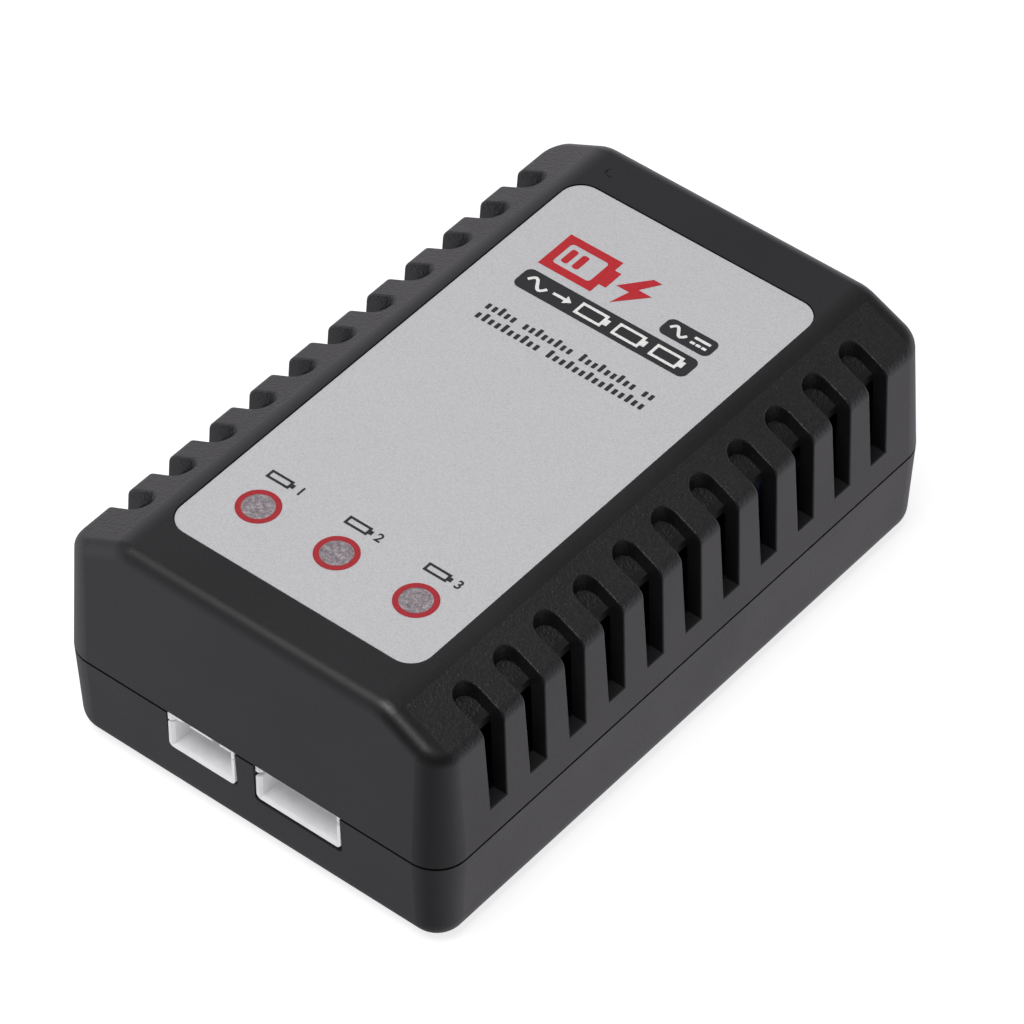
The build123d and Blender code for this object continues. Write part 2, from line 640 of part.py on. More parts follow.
SPOOL_BOTTOM_Z = WINDOW_BOTTOM_Z + CORE_GAP + BOBBIN_FLANGE_HEIGHT
SPOOL_TOP_Z = WINDOW_TOP_Z - CORE_GAP - BOBBIN_FLANGE_HEIGHT


def transformer_plane(z):
    """Level plane at height z, centred on the transformer."""
    return Plane((0, TRANSFORMER_Y, z))


with BuildPart() as transformer_core:
    with BuildSketch(transformer_plane(CORE_BOTTOM_Z)):
        Rectangle(CORE_WIDTH, CORE_DEPTH)
    extrude(amount=CORE_HEIGHT)
    with BuildSketch(transformer_plane(WINDOW_BOTTOM_Z)):
        Rectangle(CORE_WIDTH - 2 * CORE_SIDE_WIDTH, CORE_DEPTH)
        Rectangle(CORE_LEG_WIDTH, CORE_DEPTH, mode=Mode.SUBTRACT)
    extrude(amount=WINDOW_TOP_Z - WINDOW_BOTTOM_Z, mode=Mode.SUBTRACT)
save(transformer_core, "transformer_core")

with BuildPart() as transformer_bobbin:
    with BuildSketch(transformer_plane(WINDOW_BOTTOM_Z + CORE_GAP)):
        Rectangle(TUBE_WIDTH, TUBE_DEPTH)
    extrude(amount=WINDOW_TOP_Z - WINDOW_BOTTOM_Z - 2 * CORE_GAP)
    for flange_z in (WINDOW_BOTTOM_Z + CORE_GAP, SPOOL_TOP_Z):
        with BuildSketch(transformer_plane(flange_z)):
            RectangleRounded(BOBBIN_FLANGE_WIDTH, BOBBIN_FLANGE_DEPTH, BOBBIN_WALL)
        extrude(amount=BOBBIN_FLANGE_HEIGHT)
    with BuildSketch(transformer_plane(BOARD_TOP_Z)):
        for side in (-1, 1):
            with Locations((0, side * (BOBBIN_FLANGE_DEPTH - RAIL_DEPTH) / 2)):
                Rectangle(RAIL_WIDTH, RAIL_DEPTH)
    extrude(amount=WINDOW_BOTTOM_Z + CORE_GAP - BOARD_TOP_Z)
    with BuildSketch(transformer_plane(WINDOW_BOTTOM_Z)):
        Rectangle(CORE_LEG_WIDTH + 2 * CORE_GAP, CORE_DEPTH + 2 * CORE_GAP)
    extrude(amount=WINDOW_TOP_Z - WINDOW_BOTTOM_Z, mode=Mode.SUBTRACT)
    with BuildSketch(Plane.XY.offset(BOARD_TOP_Z)):
        with Locations(*TRANSFORMER_PIN_POINTS):
            Circle(LEAD_RADIUS)
    extrude(amount=CORE_YOKE_HEIGHT, mode=Mode.SUBTRACT)
save(transformer_bobbin, "transformer_bobbin")

with BuildPart() as transformer_winding:
    with BuildSketch(transformer_plane(SPOOL_BOTTOM_Z)):
        RectangleRounded(WINDING_WIDTH, WINDING_DEPTH, WINDING_RADIUS)
        Rectangle(TUBE_WIDTH, TUBE_DEPTH, mode=Mode.SUBTRACT)
    extrude(amount=SPOOL_TOP_Z - SPOOL_BOTTOM_Z)
save(transformer_winding, "transformer_winding")

with BuildPart() as transformer_tape:
    with BuildSketch(transformer_plane(SPOOL_BOTTOM_Z + TAPE_MARGIN)):
        RectangleRounded(
            WINDING_WIDTH + 2 * TAPE_THICKNESS,
            WINDING_DEPTH + 2 * TAPE_THICKNESS,
            WINDING_RADIUS + TAPE_THICKNESS,
        )
        RectangleRounded(WINDING_WIDTH, WINDING_DEPTH, WINDING_RADIUS, mode=Mode.SUBTRACT)
    extrude(amount=SPOOL_TOP_Z - SPOOL_BOTTOM_Z - 2 * TAPE_MARGIN)
save(transformer_tape, "transformer_tape")

with BuildPart() as transformer_pins:
    with BuildSketch(Plane.XY.offset(LEAD_END_Z)):
        with Locations(*TRANSFORMER_PIN_POINTS):
            Circle(LEAD_RADIUS)
    extrude(amount=BOARD_TOP_Z + CORE_YOKE_HEIGHT - LEAD_END_Z)
save(transformer_pins, "transformer_pins")


# ================================================================ mains side components
FUSE_POINT = (-18.0, 29.5)
FUSE_RADIUS = 4.2
FUSE_HEIGHT = 8.0
CHOKE_POINT = (0.0, 24.0)
CHOKE_RADIUS = 3.8
CHOKE_CORE_RADIUS = 2.6
CHOKE_HEIGHT = 9.0
CHOKE_RIM = 1.2
BULK_POINT = (16.5, 19.0)
BULK_RADIUS = 6.25
BULK_HEIGHT = 16.0
THERMISTOR_POINT = (17.5, 29.5)
THERMISTOR_RADIUS = 4.0
THERMISTOR_THICKNESS = 3.6
Y_CAPACITOR_POINT = (14.5, 3.5)
Y_CAPACITOR_RADIUS = 4.2
Y_CAPACITOR_THICKNESS = 4.0
DISC_FOOT_HEIGHT = 1.6
DISC_FOOT_WIDTH = 1.2
DISC_BOTTOM_Z = BOARD_TOP_Z + DISC_FOOT_HEIGHT
RADIAL_PITCH = 5.0
BEAD_RADIUS = 0.3
VENT_CROSS_DEPTH = 0.15
VENT_CROSS_WIDTH = 0.4

BRIDGE_POINT = (-17.0, 19.5)
BRIDGE_LENGTH = 8.4
SWITCH_POINT = (-17.0, 7.5)
SWITCH_LENGTH = 9.4
OPTO_POINT = (-15.0, -3.0)
OPTO_LENGTH = 4.6
DIP_WIDTH = 6.4
DIP_HEIGHT = 3.3
DIP_STANDOFF = 0.5
DIP_DRAFT = 5.0
DIP_ROW_PITCH = 7.62
DIP_PIN_PITCH = 2.54
DIP_LEAD_WIDTH = 0.5
DIP_LEAD_THICKNESS = 0.25
DIP_SHOULDER = (DIP_ROW_PITCH - DIP_WIDTH) / 2
DIP_MIDDLE_Z = BOARD_TOP_Z + DIP_STANDOFF + DIP_HEIGHT / 2

CLAMP_DIODE_POINT = (-8.2, 22.0)
CLAMP_DIODE_RADIUS = 1.35
CLAMP_DIODE_LENGTH = 5.2
CLAMP_RESISTOR_POINT = (7.2, 22.0)
CLAMP_RESISTOR_RADIUS = 1.2
CLAMP_RESISTOR_LENGTH = 6.2
CLAMP_LEAD_SPAN = 10.16
AXIAL_GAP = 0.1

# ---------------------------------------------------------------- battery side components
CHANNEL_XS = [-14.0, 0.0, 14.0]
DIODE_Y = -9.2
DIODE_RADIUS = 1.8
DIODE_LENGTH = 7.0
DIODE_LEAD_SPAN = 10.4
OUTPUT_CAPACITOR_Y = -17.0
OUTPUT_CAPACITOR_RADIUS = 4.0
OUTPUT_CAPACITOR_HEIGHT = 12.0
OUTPUT_LEAD_PITCH = 3.5
CHARGE_IC_POINTS = [(-5.75, -26.8), (5.75, -26.8), (19.0, -23.6)]
CHARGE_IC_WIDTH = 3.9
CHARGE_IC_LENGTH = 4.9
CHARGE_IC_HEIGHT = 1.45
CHARGE_IC_STANDOFF = 0.15
CHARGE_IC_PITCH = 1.27
CHARGE_IC_TOE = 1.05
CHARGE_IC_LEAD_WIDTH = 0.4
TRANSISTOR_POINTS = [(-19.0, -24.4), (-19.0, -31.6), (19.0, -31.6)]
TRANSISTOR_LENGTH = 6.5
TRANSISTOR_WIDTH = 3.5
TRANSISTOR_HEIGHT = 1.6
TRANSISTOR_PITCH = 2.3
TRANSISTOR_LEAD_WIDTH = 0.7
TRANSISTOR_TAB_WIDTH = 3.0
TRANSISTOR_TOE = 1.7
SURFACE_LEAD_THICKNESS = 0.2
CHIP_LENGTH = 2.0
CHIP_WIDTH = 1.25
CHIP_HEIGHT = 0.5
CHIP_PITCH = 3.0
CHIP_FRONT_Y = -33.2
CHIP_FRONT_COUNT = 9
CHIP_MIDDLE_Y = -4.2
CHIP_MIDDLE_COUNT = 6


def pair_along_x(point, pitch):
    """Two lead positions either side of a point, along X."""
    return [(point[0] - pitch / 2, point[1]), (point[0] + pitch / 2, point[1])]


def pair_along_y(point, pitch):
    """Two lead positions either side of a point, along Y."""
    return [(point[0], point[1] - pitch / 2), (point[0], point[1] + pitch / 2)]


def capacitor_can(points, radius, height):
    """Upright electrolytic cans with a crimp bead near the foot and a cross on the roof."""
    with BuildPart() as cans:
        with BuildSketch(Plane.XY.offset(BOARD_TOP_Z)):
            with Locations(*points):
                Circle(radius)
        extrude(amount=height)
        fillet(cans.edges().group_by(Axis.Z)[-1], 2 * BEAD_RADIUS)
        with Locations(*[(x, y, BOARD_TOP_Z + height / 8) for x, y in points]):
            Torus(radius + BEAD_RADIUS / 3, BEAD_RADIUS, mode=Mode.SUBTRACT)
        with BuildSketch(Plane.XY.offset(BOARD_TOP_Z + height)):
            with Locations(*points):
                Rectangle(radius, VENT_CROSS_WIDTH)
                Rectangle(VENT_CROSS_WIDTH, radius)
        extrude(amount=-VENT_CROSS_DEPTH, mode=Mode.SUBTRACT)
    return cans


def coated_disc(plane, radius, thickness):
    """Dipped disc standing on two coated feet; the plane's origin is the foot of the disc."""
    with BuildPart() as disc:
        with BuildSketch(plane):
            with Locations((0, radius)):
                Circle(radius)
        extrude(amount=thickness / 2, both=True)
        fillet(disc.edges().filter_by(GeomType.CIRCLE), thickness / 4)
        with BuildSketch(plane):
            with Locations((-RADIAL_PITCH / 2, 0), (RADIAL_PITCH / 2, 0)):
                Rectangle(DISC_FOOT_WIDTH, radius, align=(Align.CENTER, Align.MIN))
        extrude(amount=DISC_FOOT_WIDTH / 2, both=True)
    return disc


def dip_package(point, length):
    """Dual-in-line moulding, long side along Y, drafted above its leads, with an end notch."""
    half_height = DIP_HEIGHT / 2
    with BuildPart() as package:
        for side in (-1, 1):
            with BuildSketch(Plane((*point, DIP_MIDDLE_Z))):
                Rectangle(DIP_WIDTH, length)
            extrude(amount=side * half_height, taper=DIP_DRAFT)
        with Locations((point[0], point[1] + length / 2, DIP_MIDDLE_Z + half_height)):
            Cylinder(DIP_WIDTH / 8, half_height, mode=Mode.SUBTRACT)
    return package


def axial_body(plane, radius, length):
    """Barrel of an axial component, centred on the plane and running along its normal."""
    with BuildPart() as barrel:
        with BuildSketch(plane):
            Circle(radius)
        extrude(amount=length / 2, both=True)
        fillet(barrel.edges(), radius / 4)
    return barrel.part


def axial_z(radius):
    """Height of an axial component's centre line above the ground."""
    return BOARD_TOP_Z + AXIAL_GAP + radius


with BuildPart() as mains_fuse:
    with BuildSketch(Plane.XY.offset(BOARD_TOP_Z)):
        with Locations(FUSE_POINT):
            Circle(FUSE_RADIUS)
    extrude(amount=FUSE_HEIGHT)
    fillet(mains_fuse.edges().group_by(Axis.Z)[-1], 2 * BEAD_RADIUS)
save(mains_fuse, "mains_fuse")

with BuildPart() as input_choke:
    with BuildSketch(Plane.XY.offset(BOARD_TOP_Z)):
        with Locations(CHOKE_POINT):
            Circle(CHOKE_RADIUS)
    extrude(amount=CHOKE_HEIGHT)
    with BuildSketch(Plane.XY.offset(BOARD_TOP_Z + CHOKE_RIM)):
        with Locations(CHOKE_POINT):
            Circle(CHOKE_RADIUS)
            Circle(CHOKE_CORE_RADIUS, mode=Mode.SUBTRACT)
    extrude(amount=CHOKE_HEIGHT - 2 * CHOKE_RIM, mode=Mode.SUBTRACT)
save(input_choke, "input_choke_core")

with BuildPart() as choke_winding:
    with BuildSketch(Plane.XY.offset(BOARD_TOP_Z + CHOKE_RIM)):
        with Locations(CHOKE_POINT):
            Circle(CHOKE_RADIUS - BEAD_RADIUS)
            Circle(CHOKE_CORE_RADIUS, mode=Mode.SUBTRACT)
    extrude(amount=CHOKE_HEIGHT - 2 * CHOKE_RIM)
save(choke_winding, "input_choke_winding")

save(capacitor_can([BULK_POINT], BULK_RADIUS, BULK_HEIGHT), "bulk_capacitor")
save(
    coated_disc(
        Plane((*THERMISTOR_POINT, DISC_BOTTOM_Z), x_dir=(1, 0, 0), z_dir=(0, -1, 0)),
        THERMISTOR_RADIUS,
        THERMISTOR_THICKNESS,
    ),
    "inrush_thermistor",
)
save(
    coated_disc(
        Plane((*Y_CAPACITOR_POINT, DISC_BOTTOM_Z), x_dir=(0, 1, 0), z_dir=(1, 0, 0)),
        Y_CAPACITOR_RADIUS,
        Y_CAPACITOR_THICKNESS,
    ),
    "y_capacitor",
)
save(dip_package(BRIDGE_POINT, BRIDGE_LENGTH), "bridge_rectifier")
save(dip_package(SWITCH_POINT, SWITCH_LENGTH), "switching_ic")
save(dip_package(OPTO_POINT, OPTO_LENGTH), "optocoupler")

with BuildPart() as clamp_diode:
    add(
        axial_body(
            Plane((*CLAMP_DIODE_POINT, axial_z(CLAMP_DIODE_RADIUS)), z_dir=(0, 1, 0)),
            CLAMP_DIODE_RADIUS,
            CLAMP_DIODE_LENGTH,
        )
    )
save(clamp_diode, "clamp_diode")

with BuildPart() as clamp_resistor:
    add(
        axial_body(
            Plane((*CLAMP_RESISTOR_POINT, axial_z(CLAMP_RESISTOR_RADIUS)), z_dir=(0, 1, 0)),
            CLAMP_RESISTOR_RADIUS,
            CLAMP_RESISTOR_LENGTH,
        )
    )
save(clamp_resistor, "clamp_resistor")


# ================================================================ battery side components
with BuildPart() as output_diodes:
    for x in CHANNEL_XS:
        add(
            axial_body(
                Plane((x, DIODE_Y, axial_z(DIODE_RADIUS)), z_dir=(1, 0, 0)),
                DIODE_RADIUS,
                DIODE_LENGTH,
            )
        )
save(output_diodes, "output_diodes")

save(
    capacitor_can(
        [(x, OUTPUT_CAPACITOR_Y) for x in CHANNEL_XS],
        OUTPUT_CAPACITOR_RADIUS,
        OUTPUT_CAPACITOR_HEIGHT,
    ),
    "output_capacitors",
)

with BuildPart() as charge_ics:
    with BuildSketch(Plane.XY.offset(BOARD_TOP_Z + CHARGE_IC_STANDOFF)):
        with Locations(*CHARGE_IC_POINTS):
            Rectangle(CHARGE_IC_WIDTH, CHARGE_IC_LENGTH)
    extrude(amount=CHARGE_IC_HEIGHT, taper=DIP_DRAFT)
save(charge_ics, "charge_ics")

with BuildPart() as charge_transistors:
    with BuildSketch(Plane.XY.offset(BOARD_TOP_Z)):
        with Locations(*TRANSISTOR_POINTS):
            Rectangle(TRANSISTOR_LENGTH, TRANSISTOR_WIDTH)
    extrude(amount=TRANSISTOR_HEIGHT, taper=DIP_DRAFT)
save(charge_transistors, "charge_transistors")


def chip_row(count, y):
    """Positions of a row of chip resistors, centred on the board."""
    return [((index - (count - 1) / 2) * CHIP_PITCH, y) for index in range(count)]


CHIP_POINTS = chip_row(CHIP_FRONT_COUNT, CHIP_FRONT_Y) + chip_row(CHIP_MIDDLE_COUNT, CHIP_MIDDLE_Y)

with BuildPart() as chip_resistors:
    with BuildSketch(Plane.XY.offset(BOARD_TOP_Z)):
        with Locations(*CHIP_POINTS):
            Rectangle(CHIP_LENGTH, CHIP_WIDTH)
    extrude(amount=CHIP_HEIGHT)
save(chip_resistors, "chip_resistors")


# ================================================================ leads
def dip_lead_points(point, pins_per_side, pitch):
    """Where a dual-in-line package's leads pass through the board."""
    return [
        (point[0] + side * DIP_ROW_PITCH / 2, point[1] + (index - (pins_per_side - 1) / 2) * pitch)
        for side in (-1, 1)
        for index in range(pins_per_side)
    ]


DIPS = [
    (BRIDGE_POINT, BRIDGE_LENGTH, 2, 2 * DIP_PIN_PITCH),
    (SWITCH_POINT, SWITCH_LENGTH, 4, DIP_PIN_PITCH),
    (OPTO_POINT, OPTO_LENGTH, 2, DIP_PIN_PITCH),
]
DIP_LEADS = []
for dip_point, dip_length, dip_pins, dip_pitch in DIPS:
    DIP_LEADS += dip_lead_points(dip_point, dip_pins, dip_pitch)

AXIALS = [
    (CLAMP_DIODE_POINT, CLAMP_DIODE_RADIUS, CLAMP_DIODE_LENGTH, CLAMP_LEAD_SPAN, False),
    (CLAMP_RESISTOR_POINT, CLAMP_RESISTOR_RADIUS, CLAMP_RESISTOR_LENGTH, CLAMP_LEAD_SPAN, False),
]
for channel_x in CHANNEL_XS:
    AXIALS.append(((channel_x, DIODE_Y), DIODE_RADIUS, DIODE_LENGTH, DIODE_LEAD_SPAN, True))
AXIAL_LEADS = []
for axial_point, _, _, axial_span, axial_along_x in AXIALS:
    if axial_along_x:
        AXIAL_LEADS += pair_along_x(axial_point, axial_span)
    else:
        AXIAL_LEADS += pair_along_y(axial_point, axial_span)

FLUSH_LEADS = (
    pair_along_y(FUSE_POINT, RADIAL_PITCH)
    + pair_along_x(CHOKE_POINT, RADIAL_PITCH)
    + pair_along_x(BULK_POINT, RADIAL_PITCH)
)
for channel_x in CHANNEL_XS:
    FLUSH_LEADS += pair_along_x((channel_x, OUTPUT_CAPACITOR_Y), OUTPUT_LEAD_PITCH)
DISC_LEADS = pair_along_x(THERMISTOR_POINT, RADIAL_PITCH) + pair_along_y(
    Y_CAPACITOR_POINT, RADIAL_PITCH
)
SOCKET_PIN_HOLES = [
    (x, SOCKET_PIN_TAIL_Y - SOCKET_PIN / 2)
    for x in socket_pin_xs(SOCKET_3_X, 3) + socket_pin_xs(SOCKET_4_X, 4)
]
INLET_TAIL_HOLES = [(x, INLET_PIN_TAIL_Y + INLET_TAIL_THICKNESS / 2) for x in INLET_PIN_XS]


def bent_lead(body_end, bend):
    """Wire that leaves a barrel level at body_end, turns at bend and goes down through the board."""
    foot = (bend[0], bend[1], LEAD_END_Z)
    with BuildPart() as wire:
        with BuildLine():
            FilletPolyline(body_end, bend, foot, radius=2 * LEAD_RADIUS)
        start_plane = Plane(body_end, z_dir=Vector(*bend) - Vector(*body_end))
        with BuildSketch(start_plane):
            Circle(LEAD_RADIUS)
        sweep()
    return wire.part


def bent_leads(point, radius, length, span, along_x):
    """Both leads of one axial component."""
    height = axial_z(radius)
    leads = []
    for side in (-1, 1):
        if along_x:
            start = (point[0] + side * length / 2, point[1], height)
            bend = (point[0] + side * span / 2, point[1], height)
        else:
            start = (point[0], point[1] + side * length / 2, height)
            bend = (point[0], point[1] + side * span / 2, height)
        leads.append(bent_lead(start, bend))
    return leads


with BuildPart() as component_leads:
    for points, top_z in ((FLUSH_LEADS, BOARD_TOP_Z), (DISC_LEADS, DISC_BOTTOM_Z)):
        with BuildSketch(Plane.XY.offset(LEAD_END_Z)):
            with Locations(*points):
                Circle(LEAD_RADIUS)
        extrude(amount=top_z - LEAD_END_Z)
    for axial in AXIALS:
        add(bent_leads(*axial))
save(component_leads, "component_leads")

with BuildPart() as package_leads:
    with BuildSketch(Plane.XY.offset(DIP_MIDDLE_Z)):
        with Locations(*DIP_LEADS):
            Rectangle(DIP_LEAD_THICKNESS, DIP_LEAD_WIDTH)
    extrude(amount=LEAD_END_Z - DIP_MIDDLE_Z)
    with BuildSketch(Plane.XY.offset(DIP_MIDDLE_Z)):
        for point, length, pins_per_side, pitch in DIPS:
            with Locations(point):
                with GridLocations(DIP_ROW_PITCH, pitch, 2, pins_per_side):
                    Rectangle(DIP_LEAD_THICKNESS, DIP_LEAD_WIDTH)
                with GridLocations(DIP_WIDTH + DIP_SHOULDER, pitch, 2, pins_per_side):
                    Rectangle(DIP_SHOULDER, DIP_LEAD_WIDTH)
    extrude(amount=-DIP_LEAD_THICKNESS)
    with BuildSketch(Plane.XY.offset(BOARD_TOP_Z)):
        for point in CHARGE_IC_POINTS:
            with Locations(point):
                with GridLocations(CHARGE_IC_WIDTH + CHARGE_IC_TOE, CHARGE_IC_PITCH, 2, 4):
                    Rectangle(CHARGE_IC_TOE, CHARGE_IC_LEAD_WIDTH)
        for point in TRANSISTOR_POINTS:
            with Locations((point[0], point[1] - (TRANSISTOR_WIDTH + TRANSISTOR_TOE) / 2)):
                with GridLocations(TRANSISTOR_PITCH, 0, 3, 1):
                    Rectangle(TRANSISTOR_LEAD_WIDTH, TRANSISTOR_TOE)
            with Locations((point[0], point[1] + (TRANSISTOR_WIDTH + TRANSISTOR_TOE) / 2)):
                Rectangle(TRANSISTOR_TAB_WIDTH, TRANSISTOR_TOE)
    extrude(amount=SURFACE_LEAD_THICKNESS)
save(package_leads, "package_leads")


# ================================================================ circuit board
with BuildPart() as circuit_board:
    with BuildSketch(Plane.XY.offset(BOARD_TOP_Z)):
        Rectangle(BOARD_WIDTH, BOARD_LENGTH)
        with GridLocations(BOARD_WIDTH, BOARD_LENGTH, 2, 2):
            Rectangle(2 * BOARD_NOTCH_X, 2 * BOARD_NOTCH_Y, mode=Mode.SUBTRACT)
        with Locations((0, TRANSFORMER_Y)):
            SlotOverall(CORE_WIDTH, ISOLATION_SLOT_WIDTH, mode=Mode.SUBTRACT)
        with Locations(*POST_POINTS):
            Circle(PEG_HOLE_RADIUS, mode=Mode.SUBTRACT)
        with Locations(*FLUSH_LEADS, *DISC_LEADS, *AXIAL_LEADS, *DIP_LEADS):
            Circle(LEAD_HOLE_RADIUS, mode=Mode.SUBTRACT)
        with Locations(*TRANSFORMER_PIN_POINTS, *LED_LEAD_POINTS):
            Circle(LEAD_HOLE_RADIUS, mode=Mode.SUBTRACT)
        with Locations(*SOCKET_PIN_HOLES):
            Circle(PIN_HOLE_RADIUS, mode=Mode.SUBTRACT)
        with Locations(*INLET_TAIL_HOLES):
            Rectangle(INLET_TAIL_WIDTH + LEAD_RADIUS, 2 * INLET_TAIL_THICKNESS, mode=Mode.SUBTRACT)
    extrude(amount=-BOARD_THICKNESS)
save(circuit_board, "circuit_board")
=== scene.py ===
import math

import bpy
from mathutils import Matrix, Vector


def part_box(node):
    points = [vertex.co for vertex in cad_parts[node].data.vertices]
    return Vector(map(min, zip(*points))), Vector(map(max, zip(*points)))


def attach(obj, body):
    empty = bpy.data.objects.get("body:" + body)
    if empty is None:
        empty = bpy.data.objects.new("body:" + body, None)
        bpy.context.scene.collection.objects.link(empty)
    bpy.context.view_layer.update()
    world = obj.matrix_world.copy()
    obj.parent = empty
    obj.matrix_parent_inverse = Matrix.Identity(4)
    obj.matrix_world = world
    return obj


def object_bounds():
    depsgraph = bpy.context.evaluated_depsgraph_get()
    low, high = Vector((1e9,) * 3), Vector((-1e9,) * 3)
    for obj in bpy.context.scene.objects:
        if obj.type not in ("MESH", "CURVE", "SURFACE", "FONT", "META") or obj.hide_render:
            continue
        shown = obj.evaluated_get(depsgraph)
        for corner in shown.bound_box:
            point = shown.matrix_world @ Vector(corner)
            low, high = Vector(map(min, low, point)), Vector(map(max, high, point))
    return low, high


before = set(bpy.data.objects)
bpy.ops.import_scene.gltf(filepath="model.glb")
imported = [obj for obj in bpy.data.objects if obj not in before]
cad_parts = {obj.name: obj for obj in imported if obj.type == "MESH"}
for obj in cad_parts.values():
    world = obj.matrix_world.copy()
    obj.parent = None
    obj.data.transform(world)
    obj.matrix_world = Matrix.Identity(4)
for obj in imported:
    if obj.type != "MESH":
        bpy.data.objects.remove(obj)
CAD_BOUNDS = [list(corner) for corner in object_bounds()]
MM = 0.001

# the reach of the coarse grain and its painted glints on the sloping shoulders: outside |x|, inside |y| and
# above z
SHOULDER_X = 20.5 * MM
SHOULDER_Y = 41.5 * MM
SHOULDER_Z = CAD_BOUNDS[1][2] - 5.0 * MM


# ------------------------------------------------------------------ material tools
def rgb(code):
    """A hex display colour as the linear colour that shaders take."""
    values = [int(code[i:i + 2], 16) / 255 for i in (1, 3, 5)]
    linear = [v / 12.92 if v <= 0.04045 else ((v + 0.055) / 1.055) ** 2.4 for v in values]
    return (*linear, 1.0)


def grey(value):
    """A linear grey."""
    return (value, value, value, 1.0)


def shade(colour, factor):
    """The colour made darker or lighter."""
    return (*[min(1.0, channel * factor) for channel in colour[:3]], 1.0)


class Finish:
    """One procedural material: a Principled shader with the nodes that vary it over the surface."""

    # most of a noise texture's values lie between these two
    NOISE_LOW, NOISE_HIGH = 0.3, 0.7

    def __init__(self, name, roughness=0.5, metallic=0.0, **sockets):
        self.material = bpy.data.materials.new(name)
        self.material.use_nodes = True
        self.tree = self.material.node_tree
        self.shader = self.tree.nodes["Principled BSDF"]
        self.shader.inputs["Roughness"].default_value = roughness
        self.shader.inputs["Metallic"].default_value = metallic
        for socket, value in sockets.items():
            self.shader.inputs[socket.replace("_", " ")].default_value = value
        self.coordinates = self.tree.nodes.new("ShaderNodeTexCoord").outputs["Object"]
        self.relief = None

    def stretched(self, scale):
        """Object coordinates scaled by a different amount along each axis."""
        node = self.tree.nodes.new("ShaderNodeMapping")
        node.inputs["Scale"].default_value = scale
        self.tree.links.new(self.coordinates, node.inputs["Vector"])
        return node.outputs["Vector"]

    def axis(self, name):
        """One object coordinate, in metres."""
        node = self.tree.nodes.new("ShaderNodeSeparateXYZ")
        self.tree.links.new(self.coordinates, node.inputs["Vector"])
        return node.outputs[name]

    def noise(self, size_mm, detail=2.0, roughness=0.5, vector=None):
        """Noise whose blotches are about size_mm across."""
        node = self.tree.nodes.new("ShaderNodeTexNoise")
        node.inputs["Scale"].default_value = 1 / (size_mm * MM)
        node.inputs["Detail"].default_value = detail
        node.inputs["Roughness"].default_value = roughness
        self.tree.links.new(vector or self.coordinates, node.inputs["Vector"])
        return node.outputs["Fac"]

    def cells(self, size_mm, feature="F1"):
        """Voronoi distance with cells about size_mm across."""
        node = self.tree.nodes.new("ShaderNodeTexVoronoi")
        node.feature = feature
        node.inputs["Scale"].default_value = 1 / (size_mm * MM)
        self.tree.links.new(self.coordinates, node.inputs["Vector"])
        return node.outputs["Distance"]

    def set_or_link(self, socket, value):
        """A number or a colour goes into the socket, and another node's output is linked to it."""
        if isinstance(value, (int, float, tuple)):
            socket.default_value = value
        else:
            self.tree.links.new(value, socket)

    def math(self, operation, a, b=0.0):
        """One arithmetic step; an operation on a single value ignores b."""
        node = self.tree.nodes.new("ShaderNodeMath")
        node.operation = operation
        self.set_or_link(node.inputs[0], a)
        self.set_or_link(node.inputs[1], b)
        return node.outputs["Value"]

    def blend(self, a, b, share):
        """A mean of two values in which b has this share."""
        return self.math("ADD", self.math("MULTIPLY", a, 1 - share), self.math("MULTIPLY", b, share))

    def mix(self, factor, a, b):
        """Colour a where factor is 0 and colour b where it is 1."""
        node = self.tree.nodes.new("ShaderNodeMix")
        node.data_type = "RGBA"
        # the node has a set of sockets for each data type, and these are the ones for colours
        factor_socket, a_socket, b_socket = node.inputs[0], node.inputs[6], node.inputs[7]
        result_socket = node.outputs[2]
        self.set_or_link(factor_socket, factor)
        self.set_or_link(a_socket, a)
        self.set_or_link(b_socket, b)
        return result_socket

    def ramp(self, value, stops, interpolation="LINEAR"):
        """A colour ramp over value, with (position, colour) stops."""
        node = self.tree.nodes.new("ShaderNodeValToRGB")
        node.color_ramp.interpolation = interpolation
        elements = node.color_ramp.elements
        while len(elements) < len(stops):
            elements.new(1.0)
        for element, (position, colour) in zip(elements, stops):
            element.position = position
            element.color = colour
        self.tree.links.new(value, node.inputs["Fac"])
        return node.outputs["Color"]

    def shades(self, value, colour, low, high):
        """The colour, from `low` times as bright to `high` times, as value rises."""
        stops = [(self.NOISE_LOW, shade(colour, low)), (self.NOISE_HIGH, shade(colour, high))]
        return self.ramp(value, stops)

    def colour(self, output):
        """The surface takes its colour from this output."""
        self.tree.links.new(output, self.shader.inputs["Base Color"])

    def rough(self, value, low, high):
        """Roughness that runs from low to high with value."""
        node = self.tree.nodes.new("ShaderNodeMapRange")
        node.inputs["From Min"].default_value = self.NOISE_LOW
        node.inputs["From Max"].default_value = self.NOISE_HIGH
        node.inputs["To Min"].default_value = low
        node.inputs["To Max"].default_value = high
        self.tree.links.new(value, node.inputs["Value"])
        self.tree.links.new(node.outputs["Result"], self.shader.inputs["Roughness"])

    def bump(self, value, depth_mm):
        """Adds relief of about depth_mm on top of any earlier relief."""
        node = self.tree.nodes.new("ShaderNodeBump")
        node.inputs["Distance"].default_value = depth_mm * MM
        node.inputs["Strength"].default_value = 1.0
        self.tree.links.new(value, node.inputs["Height"])
        if self.relief is not None:
            self.tree.links.new(self.relief, node.inputs["Normal"])
        self.relief = node.outputs["Normal"]
        self.tree.links.new(self.relief, self.shader.inputs["Normal"])


